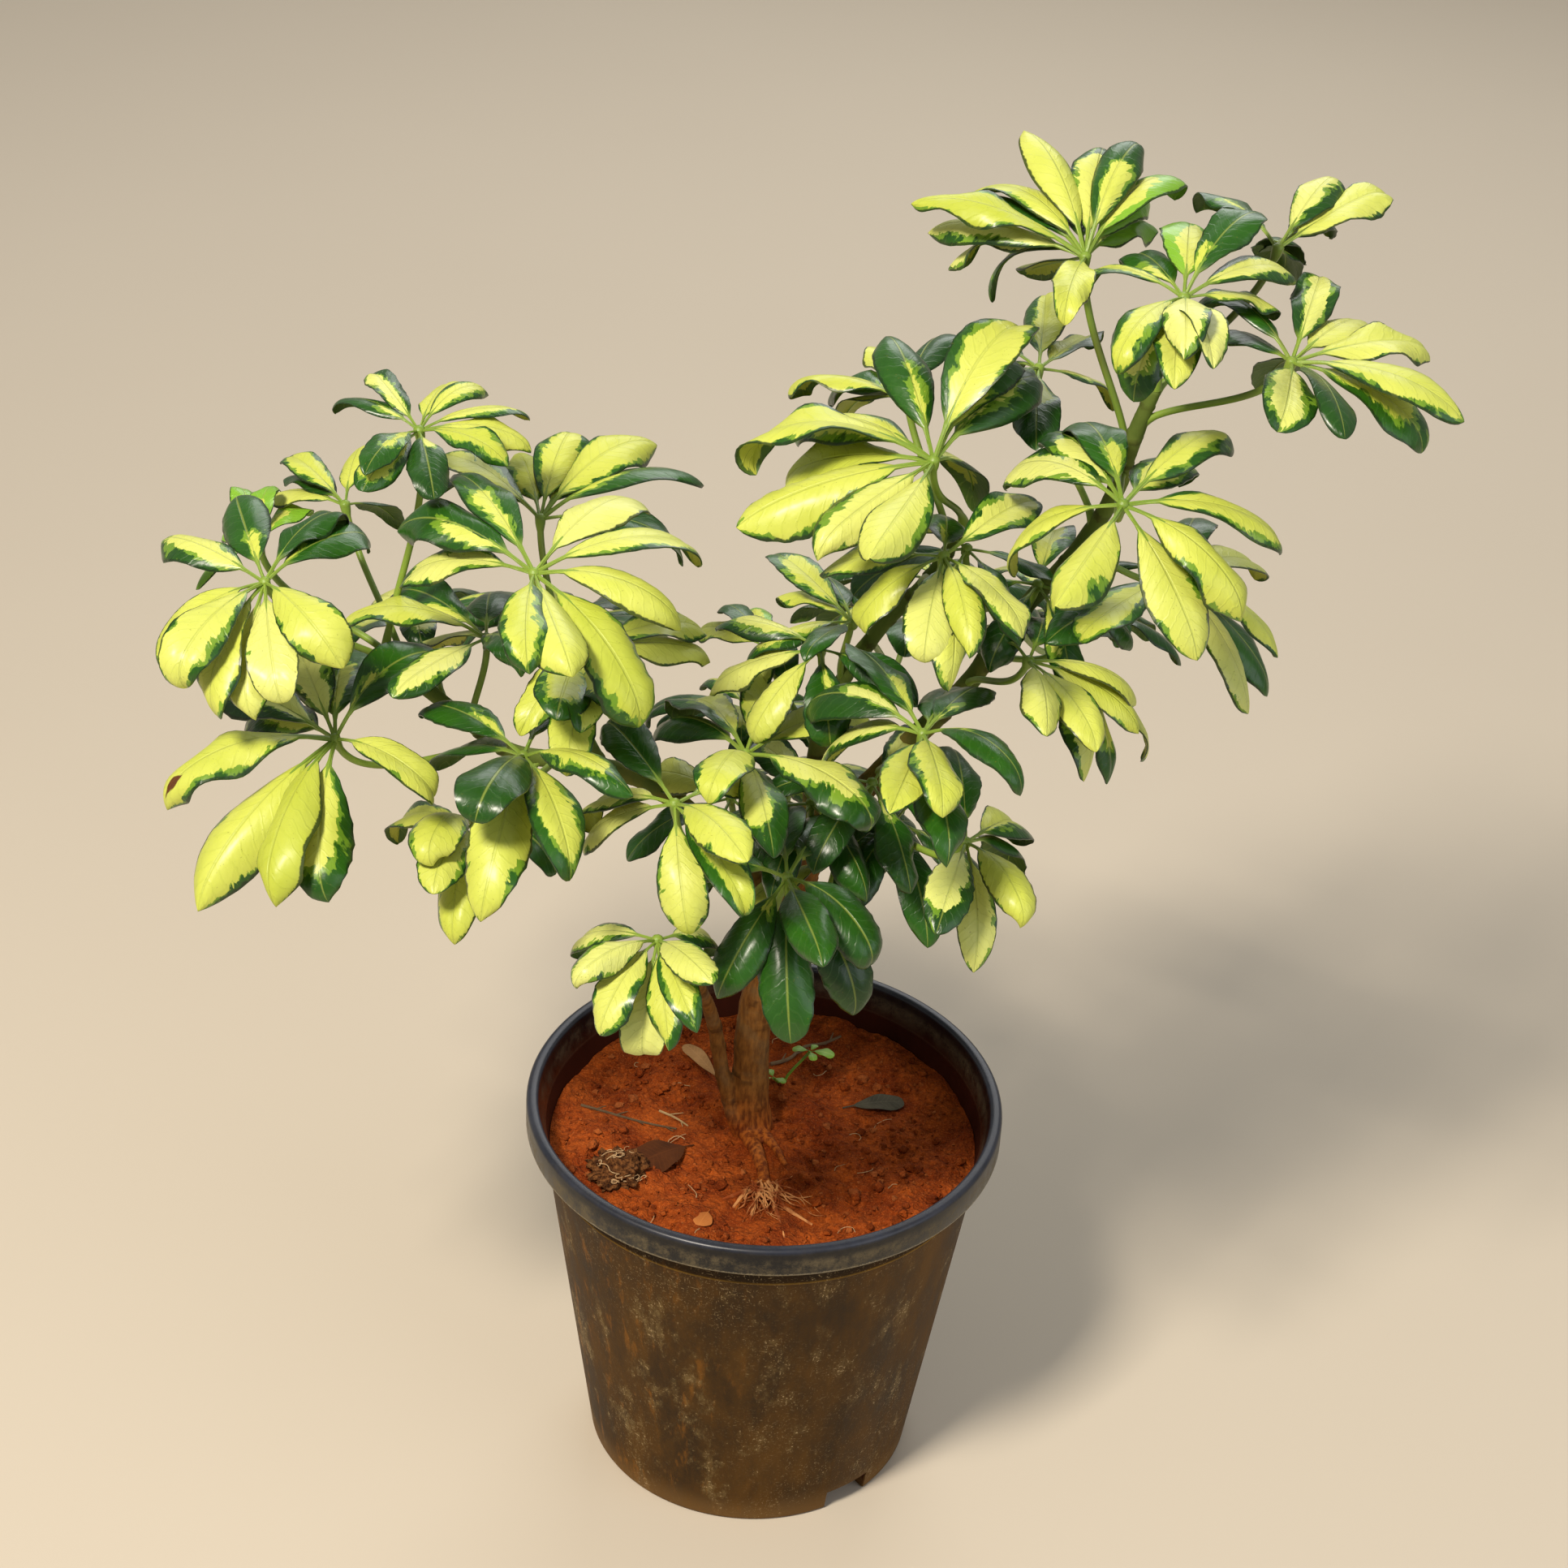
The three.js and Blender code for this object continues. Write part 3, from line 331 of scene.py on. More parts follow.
# Leaves: each has its hub, the lean of its axis from upright, its place as a share of a
# stem's length, its main colour, and its leaflets as colour, heading round the axis, rise
# and droop in degrees, and length. The colours are y yellow with a thin green edge, m yellow
# in a broad green edge, g green with a yellow streak, d dark green and l young light green.
# A bow bends the stalk aside, and slim narrows the leaflets.
Leaf = namedtuple("Leaf", "hub lean stem at tone rows bow slim", defaults=[(0, 0, 0), 1])
LEAVES = [
    Leaf((-180, 25, 584), (-0.15, 0), "left", 1, "lemon",
         "m 125 30 35 55, g 145 30 65 56, g 250 25 55 54, m 250 10 40 54, g 285 10 55 56, "
         "m 330 15 70 53, y 0 10 70 58, y 25 15 55 57, m 55 30 80 55, y 80 20 55 55"),
    Leaf((-248, -20, 523), (-0.25, -0.1), "left", 0.905, "lemon",
         "m 150 30 55 73, g 110 25 40 73, d 65 20 65 73, g 50 10 55 73, y 305 15 90 73, "
         "y 280 -5 40 73, y 260 -10 40 78, y 245 0 55 78, y 245 20 65 80, y 220 20 85 72",
         bow=(4, 0, 0)),
    Leaf((-265, 60, 499), (-0.2, 0.2), "left", 0.972, "dark",
         "l 105 50 45 45, l 60 30 55 45, l 130 20 60 44, l 220 10 65 43, l 80 65 85 45"),
    Leaf((-214, -40, 451), (-0.3, -0.15), "left", 0.7, "lemon",
         "y 210 40 85 101, m 135 5 40 83, m 110 20 10 83, g 95 15 50 84, g 45 35 100 86, "
         "y 325 15 95 75, m 265 -5 35 93, y 250 10 50 102, y 230 5 45 110, m 145 25 55 87",
         bow=(0, -4, -2)),
    Leaf((-118, -55, 555), (-0.05, -0.15), "leftup", 1, "lemon",
         "g 150 25 80 89, m 160 5 70 83, g 120 25 55 86, y 55 25 75 86, y 20 25 75 87, "
         "y 345 20 90 83, y 315 0 65 97, y 285 15 25 84, m 270 20 35 83"),
    Leaf((-125, 53, 526), (0, 0.25), "leftup", 0.86, "mixed",
         "m 85 40 30 77, m 105 30 40 77, g 70 30 25 78, y 45 45 60 86, g 30 35 65 94, "
         "m 145 35 45 78, g 350 15 65 82, d 135 25 60 79"),
    Leaf((-224, 75, 516), (-0.2, 0.2), "left", 0.945, "lemon",
         "d 70 -10 50 59, d 125 20 35 61, m 130 35 45 62, y 85 35 50 61, y 140 15 40 62"),
    Leaf((-147, 10, 482), (-0.1, -0.05), "left", 0.79, "mixed",
         "y 190 45 75 76, g 140 25 60 71, y 130 -15 40 70, m 240 15 25 69, g 290 40 55 71, "
         "d 95 10 65 72"),
    Leaf((-99, -10, 490), (0.15, -0.15), "leftup", 0.72, "lemon",
         "y 270 0 35 75, m 260 20 10 75, y 250 15 70 66, m 275 15 5 75, m 290 25 10 73, "
         "y 70 -10 75 76, y 20 10 45 73, y 30 20 60 74", bow=(3, -3, -2)),
    Leaf((-121, -70, 466), (0.05, -0.15), "left", 0.57, "dark",
         "d 135 -20 45 81, y 265 10 70 99, m 320 45 70 79, m 295 20 60 84, g 135 5 45 79, "
         "d 260 40 55 82, d 80 5 65 84"),
    Leaf((-149, -25, 397), (-0.2, -0.15), "left", 0.62, "lemon",
         "y 255 60 95 76, y 265 10 60 76, y 260 35 55 70, d 320 40 90 74, m 150 5 85 74"),
    Leaf((-49, -90, 457), (-0.05, -0.25), "left", 0.17, "lemon",
         "d 125 15 55 77, y 145 -15 65 79, y 165 -25 50 74, y 275 0 70 72, m 300 15 45 79, "
         "y 305 40 50 76, m 45 -10 40 76"),
    Leaf((-18, -35, 452), (0.1, -0.05), "centre", 0.12, "lemon",
         "m 115 10 75 85, d 125 0 60 83, y 80 15 50 82, y 45 15 45 82, m 320 30 70 92, "
         "m 280 15 40 81, y 255 40 55 82"),
    Leaf((64, -70, 490), (0.15, -0.15), "right", 0.2, "mixed",
         "g 115 5 35 82, g 140 5 80 86, y 140 -20 75 80, y 260 20 20 82, g 280 10 30 86, "
         "y 270 30 35 82, g 310 50 85 81, g 65 0 40 81, d 75 -10 25 81"),
    Leaf((89, -60, 425), (0.2, -0.2), "right", 0.12, "lemon",
         "d 95 15 40 71, m 50 0 80 73, y 295 35 70 71, y 280 0 65 69, m 255 20 40 72, "
         "d 45 -15 75 73"),
    Leaf((-54, -115, 397), (-0.1, -0.3), "sucker", 1, "lemon",
         "m 155 -5 75 63, y 230 45 75 61, y 245 25 70 63, y 265 0 75 64, m 280 15 60 62, "
         "m 290 25 60 62, m 45 -25 70 61, y 300 45 50 61"),
    Leaf((5, -70, 406), (0, -0.2), "trunk", 0.8, "dark",
         "d 70 5 65 84, d 95 0 55 83, d 145 -10 75 83, d 315 30 95 79, g 310 -5 80 83, "
         "d 280 25 20 82, d 270 -5 75 87, g 245 0 70 75", bow=(-13, -13, -9)),
    Leaf((29, -16, 382), (0.2, 0.1), "trunk", 0.9, "lemon",
         "y 285 -25 60 77, d 50 15 110 61, d 50 30 55 61, y 210 -10 60 66", bow=(0, -18, -9)),
    Leaf((30, 30, 491), (-0.1, 0.05), "centre", 0.47, "dark",
         "m 205 15 55 61, m 130 15 55 61, m 135 30 30 65, d 250 20 25 59, d 105 20 60 62, "
         "d 75 15 50 62", bow=(-4, 0, -2)),
    Leaf((-11, 70, 450), (-0.2, 0.2), "centre", 0.28, "mixed",
         "g 120 40 60 52, y 135 20 35 52, y 265 15 35 51, d 285 25 60 51, l 100 30 55 52"),
    Leaf((68, -45, 570), (0.1, -0.15), "centre", 0.8, "lemon",
         "y 210 -10 85 61, y 260 5 35 70, y 280 20 65 69, y 305 20 40 68, m 45 20 50 70, "
         "g 85 -5 40 70, m 160 -15 40 67, y 280 5 65 74"),
    Leaf((61, -25, 608), (-0, -0.1), "centre", 1, "lemon",
         "y 160 -5 50 90, y 190 -5 30 97, y 230 0 25 82, y 255 5 10 87, m 140 15 75 90, "
         "y 165 25 95 105, g 110 40 65 88, m 60 60 95 99, g 60 45 100 97, g 50 30 65 93, "
         "m 65 -20 65 84"),
    Leaf((50, 65, 594), (-0.2, 0.15), "centre", 0.93, "lemon",
         "y 155 30 65 74, g 130 20 75 71, y 95 15 25 70, g 75 30 55 72, y 125 5 70 71"),
    Leaf((145, -60, 609), (0.1, -0.15), "right", 0.84, "lemon",
         "g 110 5 40 85, g 100 15 60 86, m 65 0 40 85, m 130 5 75 88, y 175 -15 95 79, "
         "y 250 5 10 87, y 305 -15 40 80, y 325 10 75 83, m 0 20 75 86, m 45 35 75 85"),
    Leaf((125, 30, 688), (0, 0.1), "right", 0.88, "lemon",
         "y 110 -20 5 78, m 135 5 95 76, y 145 10 65 79, y 130 40 80 83, g 125 25 55 81, "
         "y 165 30 45 88, y 155 15 40 82, y 110 50 55 86, d 95 25 60 80, m 85 45 40 80, "
         "g 65 60 80 87, l 55 45 75 86, l 60 30 60 81, l 65 10 25 78, y 260 10 30 78", slim=0.8),
    Leaf((167, -10, 688), (0, -0.1), "right", 1, "lemon",
         "g 110 5 45 70, m 150 20 100 70, m 240 5 95 64, y 260 10 35 70, y 265 30 55 71, "
         "y 275 20 35 70, m 25 0 50 60, m 35 20 70 73, g 60 40 65 72, l 85 25 60 72, "
         "m 235 20 60 71"),
    Leaf((214, 45, 691), (0.2, 0.15), "right", 0.972, "mixed",
         "g 125 25 65 72, m 60 50 60 71, y 40 35 20 74, g 70 -10 30 70, g 60 25 60 72, "
         "d 80 5 65 72"),
    Leaf((218, -15, 662), (0.3, -0.05), "right", 0.935, "dark",
         "m 80 30 45 77, y 55 25 60 78, y 20 30 50 81, y 340 30 50 85, m 345 15 60 78, "
         "d 280 25 50 75, m 260 10 15 77, d 80 -20 40 76, g 100 -15 10 77, d 125 20 80 76"),
    Leaf((113, 85, 606), (0, 0.2), "right", 0.74, "dark",
         "d 125 15 60 74, m 85 25 10 73, y 40 -10 30 70, m 60 10 15 73, g 265 -5 30 73, "
         "d 115 0 70 72, d 250 15 65 74"),
    Leaf((180, 25, 530), (0.25, 0.05), "right", 0.68, "dark",
         "y 35 20 60 74, y 315 20 55 77, y 310 -5 50 84, d 335 -10 35 79, d 220 -15 15 80, "
         "m 235 -10 10 74, d 145 -10 75 73, d 75 25 60 76"),
    Leaf((113, -25, 506), (0.25, -0.1), "right", 0.4, "lemon",
         "y 275 25 45 69, y 305 15 35 67, y 350 10 50 68, y 355 25 80 66, m 115 0 80 68, "
         "d 75 10 65 70"),
    Leaf((130, 30, 482), (0.3, 0.1), "right", 0.45, "lemon",
         "m 330 -20 50 74, y 345 -5 60 80, y 300 -5 65 77, d 55 20 60 72"),
    Leaf((75, 120, 465), (0.1, 0.3), "right", 0.55, "dark", whorl(15, 74)),
    Leaf((150, 165, 430), (0.25, 0.35), "right", 0.5, "dark",
         "g 40 15 60 70, d 90 20 70 66, m 145 25 60 62, d 195 15 70 70, g 245 0 25 66, "
         "m 295 25 70 62, d 350 15 60 70"),
    Leaf((-115, 125, 428), (-0.1, 0.35), "left", 0.36, "dark",
         "g 5 15 60 74, d 55 20 70 70, m 110 25 60 66, d 160 15 70 74, m 260 25 70 66, "
         "d 315 15 60 74"),
    Leaf((5, 140, 330), (0, 0.4), "trunk", 0.55, "dark", whorl(25, 74), bow=(-6, 6, -4)),
    Leaf((-20, 95, 398), (0, 0.3), "centre", 0.2, "dark", whorl(10, 66)),
    Leaf((62, 185, 405), (0.05, 0.45), "centre", 0.57, "dark", whorl(0, 70, count=8)),
    Leaf((-190, 100, 440), (-0.25, 0.3), "left", 0.86, "dark", whorl(20, 70)),
]

# Small inner leaves that fill the crown round the fork
INNER_LEAVES = [
    Leaf((15, -5, 407), (0, -0.1), "trunk", 1, "dark",
         "d 200 10 60 70, d 250 5 60 66, g 300 10 65 68, d 340 15 60 66, m 120 20 60 64"),
    Leaf((15, 5, 489), (-0.1, -0.1), "centre", 0.35, "mixed",
         "y 185 0 55 64, y 230 -5 60 64, m 150 20 60 62, g 275 0 60 60, d 325 10 60 60"),
    Leaf((44, -10, 424), (0.1, -0.15), "right", 0.08, "dark",
         "d 240 5 60 64, g 290 5 60 66, d 335 10 60 62, d 190 15 60 60, m 60 20 60 60"),
    Leaf((82, 20, 540), (0.1, -0.1), "right", 0.5, "dark",
         "d 200 0 60 62, g 250 -5 60 60, d 300 5 60 62, d 345 10 60 60, m 150 20 60 60"),
    Leaf((-25, 10, 398), (-0.1, -0.1), "left", 0.12, "dark",
         "d 205 5 60 64, g 255 0 60 66, d 305 5 60 62, y 150 15 60 58, d 80 20 60 60"),
    Leaf((57, 0, 396), (0.15, -0.1), "right", 0.03, "dark",
         "d 245 0 60 66, d 290 -5 60 70, g 335 5 60 64, d 195 10 60 60, m 60 20 60 58"),
    Leaf((118, 25, 520), (0.1, -0.1), "right", 0.45, "dark",
         "d 245 0 60 62, g 295 -5 60 66, d 340 5 60 64, d 190 10 60 60, m 80 20 60 60"),
]

chance = random.Random(41)


# Places and shapes


def mm(*place):
    """A place given in millimetres."""
    return Vector(place) * MM


def alone(*pieces):
    """Selects these pieces and no others, with the first one active."""
    bpy.ops.object.select_all(action="DESELECT")
    for piece in pieces:
        piece.select_set(True)
    bpy.context.view_layer.objects.active = pieces[0]


def started(add, name, **settings):
    """A new primitive, alone in the selection."""
    bpy.ops.object.select_all(action="DESELECT")
    add(**settings)
    piece = bpy.context.object
    piece.name = name
    return piece


@contextmanager
def editing(piece):
    """Edit mode on one piece, with all of it selected."""
    alone(piece)
    bpy.ops.object.mode_set(mode="EDIT")
    bpy.ops.mesh.select_mode(type="VERT")
    bpy.ops.mesh.select_all(action="SELECT")
    yield
    bpy.ops.object.mode_set(mode="OBJECT")


def choose(piece, test):
    """In edit mode, selects the corners whose place passes the test, and no others."""
    shell = bmesh.from_edit_mesh(piece.data)
    for corner in shell.verts:
        corner.select = test(corner.co)
    shell.select_flush_mode()
    bmesh.update_edit_mesh(piece.data)


def modified(piece, kind, **settings):
    """Adds a modifier with its settings and applies it."""
    alone(piece)
    bpy.ops.object.modifier_add(type=kind)
    modifier = piece.modifiers[-1]
    for name, value in settings.items():
        setattr(modifier, name, value)
    bpy.ops.object.modifier_apply(modifier=modifier.name)


def joined(name, pieces):
    """One piece of several."""
    alone(*pieces)
    if len(pieces) > 1:
        bpy.ops.object.join()
    whole = bpy.context.object
    whole.name = name
    whole.data.name = name
    return whole


def settled(piece):
    """Puts a piece's place into its mesh."""
    alone(piece)
    bpy.ops.object.transform_apply(location=True, rotation=True, scale=True)
    return piece


def copied(piece, name):
    """A copy with its own mesh."""
    twin = piece.copy()
    twin.data = piece.data.copy()
    twin.name = name
    bpy.context.collection.objects.link(twin)
    return twin


def finished(piece, slot, *nodes, crease=40):
    """Smooths a piece but for edges sharper than the crease, and hands it over: it rides on
    the plant and stands for its CAD nodes."""
    alone(piece)
    bpy.ops.object.shade_smooth_by_angle(angle=math.radians(crease))
    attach(piece, "root")
    if nodes:
        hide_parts(*nodes)


def paint(piece, name, values):
    """Gives the corners of a piece a number each, or one number to them all."""
    if not isinstance(values, list):
        values = [values] * len(piece.data.vertices)
    piece.data.attributes.new(name, "FLOAT", "POINT").data.foreach_set("value", values)


def tube(name, points, radii, skin, roundness=2, smoothness=4):
    """A round tube through points on a smooth line, with closed ends."""
    line = started(bpy.ops.curve.primitive_bezier_curve_add, name)
    curve = line.data
    curve.splines.clear()
    spline = curve.splines.new("BEZIER")
    spline.bezier_points.add(len(points) - 1)
    for knot, point, radius in zip(spline.bezier_points, points, radii):
        knot.co = point
        knot.radius = radius
        knot.handle_left_type = "AUTO"
        knot.handle_right_type = "AUTO"
    curve.dimensions = "3D"
    curve.resolution_u = smoothness
    curve.bevel_depth = 1
    curve.bevel_resolution = roundness
    curve.use_fill_caps = True
    curve.materials.append(skin)
    bpy.ops.object.convert(target="MESH")
    piece = bpy.context.object
    with editing(piece):
        bpy.ops.mesh.remove_doubles(threshold=MM / 100)
        bpy.ops.mesh.normals_make_consistent(inside=False)
    return piece


def turned(name, profile, steps):
    """A solid spun round Z from a line of radius and height that starts and ends on the axis."""
    line = [(r * MM, z * MM) for r, z in profile]
    piece = started(bpy.ops.mesh.primitive_plane_add, name, size=MM)
    with editing(piece):
        bpy.ops.mesh.merge(type="CENTER")
        bpy.ops.transform.translate(value=(line[0][0], 0, line[0][1]))
        for (r0, z0), (r1, z1) in zip(line, line[1:]):
            bpy.ops.mesh.extrude_region_move(TRANSFORM_OT_translate={"value": (r1 - r0, 0, z1 - z0)})
        bpy.ops.mesh.select_all(action="SELECT")
        bpy.ops.mesh.spin(steps=steps, angle=TURN, center=(0, 0, 0), axis=(0, 0, 1))
        bpy.ops.mesh.select_all(action="SELECT")
        bpy.ops.mesh.remove_doubles(threshold=MM / 100)
        bpy.ops.mesh.normals_make_consistent(inside=False)
    return piece


def rounded(r, z, radius, start, end, steps=5):
    """Points of an arc round a centre, from one angle to another in degrees."""
    angles = [math.radians(start + (end - start) * i / steps) for i in range(steps + 1)]
    return [(r + radius * math.cos(a), z + radius * math.sin(a)) for a in angles]


# Finishes: a number from a node is a Value, and sums of Values add the nodes that work them out


def maths(operation, reflected=False):
    """The method for one sign of arithmetic."""
    def work_out(self, other):
        pair = (other, self) if reflected else (self, other)
        return self.finish.maths(operation, *pair)
    return work_out


class Value:
    """A number, colour or vector that a node gives."""

    def __init__(self, finish, socket):
        self.finish = finish
        self.socket = socket

    __add__ = maths("ADD")
    __radd__ = maths("ADD", reflected=True)
    __sub__ = maths("SUBTRACT")
    __rsub__ = maths("SUBTRACT", reflected=True)
    __mul__ = maths("MULTIPLY")
    __rmul__ = maths("MULTIPLY", reflected=True)
    __truediv__ = maths("DIVIDE")


def colour(code):
    """The linear colour of an sRGB code such as #a0b0c0."""
    shown = Color([int(code[i:i + 2], 16) / 255 for i in (1, 3, 5)])
    return (*shown.from_srgb_to_scene_linear(), 1)


class Finish:
    """A material, built from nodes."""

    def __init__(self, name, **constants):
        self.material = bpy.data.materials.new(name)
        self.material.use_nodes = True
        self.nodes = self.material.node_tree.nodes
        self.links = self.material.node_tree.links
        self.shader = self.nodes["Principled BSDF"]
        for socket, value in constants.items():
            self.shader.inputs[socket.replace("_", " ")].default_value = value

    def node(self, kind, settings, inputs, output=0):
        """Adds a node: its settings first, then the values or links of its sockets."""
        made = self.nodes.new(kind)
        for name, setting in settings.items():
            setattr(made, name, setting)
        for name, value in inputs.items():
            self.feed(made.inputs[name], value)
        return Value(self, made.outputs[output])

    def feed(self, socket, value):
        if isinstance(value, Value):
            self.links.new(value.socket, socket)
        else:
            socket.default_value = value

    def maths(self, operation, *values):
        return self.node("ShaderNodeMath", {"operation": operation}, dict(enumerate(values)))

    def place(self):
        """The place on the piece, in metres."""
        return self.node("ShaderNodeTexCoord", {}, {}, "Object")

    def attribute(self, name):
        return self.node("ShaderNodeAttribute", {"attribute_name": name}, {}, "Fac")

    def parts(self, vector):
        """The X, Y and Z of a vector."""
        split = self.node("ShaderNodeSeparateXYZ", {}, {0: vector}).socket.node
        return [Value(self, socket) for socket in split.outputs]

    def vector(self, x, y, z):
        return self.node("ShaderNodeCombineXYZ", {}, {0: x, 1: y, 2: z})

    def noise(self, vector, scale, detail=2, roughness=0.5, stretch=None, output=0):
        """A cloudy number, or a cloudy colour from output 1."""
        if stretch:
            vector = self.node("ShaderNodeVectorMath", {"operation": "MULTIPLY"}, {0: vector, 1: stretch})
        sockets = {"Vector": vector, "Scale": scale, "Detail": detail, "Roughness": roughness}
        return self.node("ShaderNodeTexNoise", {}, sockets, output)

    def cells(self, vector, scale):
        """Distance from the middle of each of many crowded cells."""
        return self.node("ShaderNodeTexVoronoi", {}, {"Vector": vector, "Scale": scale}, "Distance")

    def rise(self, value, low, high, start=0, end=1):
        """0 below low, 1 above high, and a smooth rise between them."""
        sockets = {"Value": value, "From Min": low, "From Max": high, "To Min": start, "To Max": end}
        return self.node("ShaderNodeMapRange", {"interpolation_type": "SMOOTHSTEP"}, sockets)

    def fall(self, value, low, high):
        """1 below low, 0 above high, and a smooth fall between them."""
        return self.rise(value, low, high, start=1, end=0)

    def most(self, one, other):
        return self.maths("MAXIMUM", one, other)

    def mix(self, share, first, second):
        """A colour between two: each a colour code or a Value."""
        pair = [colour(c) if isinstance(c, str) else c for c in (first, second)]
        return self.node("ShaderNodeMix", {"data_type": "RGBA"}, {0: share, 6: pair[0], 7: pair[1]}, 2)

    def layered(self, base, *layers):
        """A colour under layers, each of them a share and a colour."""
        for share, tint in layers:
            base = self.mix(share, base, tint)
        return base

    def bump(self, height, strength, depth):
        """Relief of a height from 0 to 1, over a depth in millimetres."""
        sockets = {"Height": height, "Strength": strength, "Distance": depth * MM}
        return self.node("ShaderNodeBump", {}, sockets)

    def cover(self, base, roughness, normal=None, coat=None):
        """Feeds the shader, and gives the material."""
        fed = {"Base Color": base, "Roughness": roughness, "Normal": normal, "Coat Weight": coat}
        for name, value in fed.items():
            if value is not None:
                self.feed(self.shader.inputs[name], value)
        return self.material


# Leaf finishes. The corner attributes are yellow, the share of the half width that the yellow
# heart fills; side, how far it leans to one side; ending, the share of the blade where it
# fades; seed, which tells the leaflets apart; young, 1 on a light green leaflet; and scar, 1
# where a brown scar lies.
LEAF_FLESH = {"Subsurface_Weight": 0.1, "Subsurface_Scale": 0.0012,
              "Subsurface_Radius": (1, 1, 0.2), "Specular_IOR_Level": 0.3}
VEINS = 11
VEIN_SLANT = 0.16


class Variegation:
    """The pattern of one leaflet, as masks from 0 to 1."""

    def __init__(self, skin):
        self.skin = skin
        self.seed = skin.attribute("seed")
        along, across, _ = skin.parts(skin.node("ShaderNodeUVMap", {"uv_map": "blade"}, {}))
        self.blade = (along - STALK_SHARE) / (1 - STALK_SHARE)
        self.lane = across * 2 - 1
        edge = skin.maths("ABSOLUTE", self.lane)
        self.vein_line = self.blade - edge * VEIN_SLANT
        leaning = self.lane - skin.attribute("side")
        tip = skin.rise(self.blade - skin.attribute("ending"), 0, 0.36)
        reach = skin.maths("SQRT", leaning * leaning + tip * tip)
        broad = self.cloud(self.blade * 3.2, self.lane * 1.1) - 0.5
        streaks = self.cloud(self.vein_line * 17, self.lane * 1.7, 7, detail=3, roughness=0.62) - 0.5
        patches = self.cloud(self.blade * 9, self.lane * 2.5, 3, detail=3) - 0.5
        frayed = self.cloud(self.blade * 26, self.lane, 11) - 0.5
        heart = skin.attribute("yellow") + broad * 1.15 + streaks * 0.7 - reach
        self.yellow = skin.rise(heart, -0.012, 0.018)
        self.apple = skin.rise(heart + patches * 1.1, -0.2, -0.1)
        self.dark_edge = skin.rise(edge + frayed * 0.14, 0.92, 0.96)
        self.rib = skin.fall(edge, 0.02, 0.065)
        self.stalk = skin.fall(along, STALK_SHARE - 0.02, STALK_SHARE + 0.09)

    def cloud(self, along, across, start=0, **settings):
        """Noise of this leaflet's own."""
        spot = self.skin.vector(along, across, self.seed + start)
        return self.skin.noise(spot, scale=1, **settings)

    def veins(self):
        """Fine side veins that slant from the rib towards the tip."""
        wander = self.cloud(self.blade * 4, self.lane * 2)
        line = self.skin.maths("FRACT", self.vein_line * VEINS + wander * 1.3)
        return self.skin.fall(self.skin.maths("ABSOLUTE", line - 0.5), 0.02, 0.13)


def leaf_face():
    """Waxy upper side: a yellow heart, a jagged green margin, a pale rib and a fine dark edge."""
    skin = Finish("leaf_face", Coat_Roughness=0.25, **LEAF_FLESH)
    pattern = Variegation(skin)
    veins = pattern.veins()
    spot = skin.place()
    cloud = skin.noise(spot, scale=45)
    fine = skin.noise(spot, scale=170, detail=3)
    shade = skin.noise(skin.vector(pattern.seed * 5.3, 0.5, 0.5), scale=1)
    specks = skin.rise(skin.noise(spot, scale=900, detail=1), 0.72, 0.76)
    scar = skin.rise(pattern.cloud(pattern.blade * 3, pattern.lane * 1.2, 21), 0.64, 0.68)
    lemon = skin.layered(
        skin.mix(cloud, "#b3bf3b", "#cfd565"),
        (skin.rise(shade, 0.45, 0.65) * 0.55, "#dcdf8e"),
        (skin.fall(shade, 0.3, 0.45) * 0.45, "#a0ae2c"),
        (veins * 0.08, "#8fa02a"))
    deep = skin.layered(
        skin.mix(cloud, "#143a07", "#2f6616"),
        (skin.rise(shade, 0.45, 0.65) * 0.5, "#11300c"),
        (veins * 0.1, "#55803a"))
    face = skin.layered(
        deep,
        (pattern.apple * (1 - pattern.yellow), skin.mix(cloud, "#4f7a18", "#83a632")),
        (skin.attribute("young"), skin.mix(cloud, "#5f9c22", "#8fbb38")),
        (pattern.yellow, lemon),
        (pattern.rib * (0.42 - pattern.yellow * 0.17), "#a6b450"),
        (pattern.dark_edge * 0.9, "#16300c"),
        (specks * 0.45, "#6c6a1e"),
        (scar * skin.attribute("scar"), "#5e3510"),
        (pattern.stalk * 0.8, "#93ad44"))
    puckers = pattern.cloud(pattern.vein_line * 9, pattern.lane * 2)
    relief = puckers * 1.5 + fine * 0.6 + veins * 0.2 - pattern.rib * 0.9
    roughness = fine * 0.25 + pattern.yellow * 0.12 + 0.22
    return skin.cover(face, roughness, skin.bump(relief, strength=0.55, depth=0.8),
                      coat=0.38 - pattern.yellow * 0.2)


def leaf_back():
    """Dull underside: the same pattern, paler, with the veins raised."""
    skin = Finish("leaf_back", **LEAF_FLESH)
    pattern = Variegation(skin)
    veins = pattern.veins()
    cloud = skin.noise(skin.place(), scale=60)
    back = skin.layered(
        skin.mix(cloud, "#38561f", "#566f2c"),
        (skin.attribute("young"), skin.mix(cloud, "#74a034", "#90b546")),
        (pattern.yellow, skin.mix(cloud, "#a3a83a", "#b6ba48")),
        (veins * 0.2, "#8f9a4c"),
        (pattern.dark_edge * 0.7, "#2a401c"))
    return skin.cover(back, cloud * 0.2 + 0.42, skin.bump(veins, strength=0.4, depth=0.4))


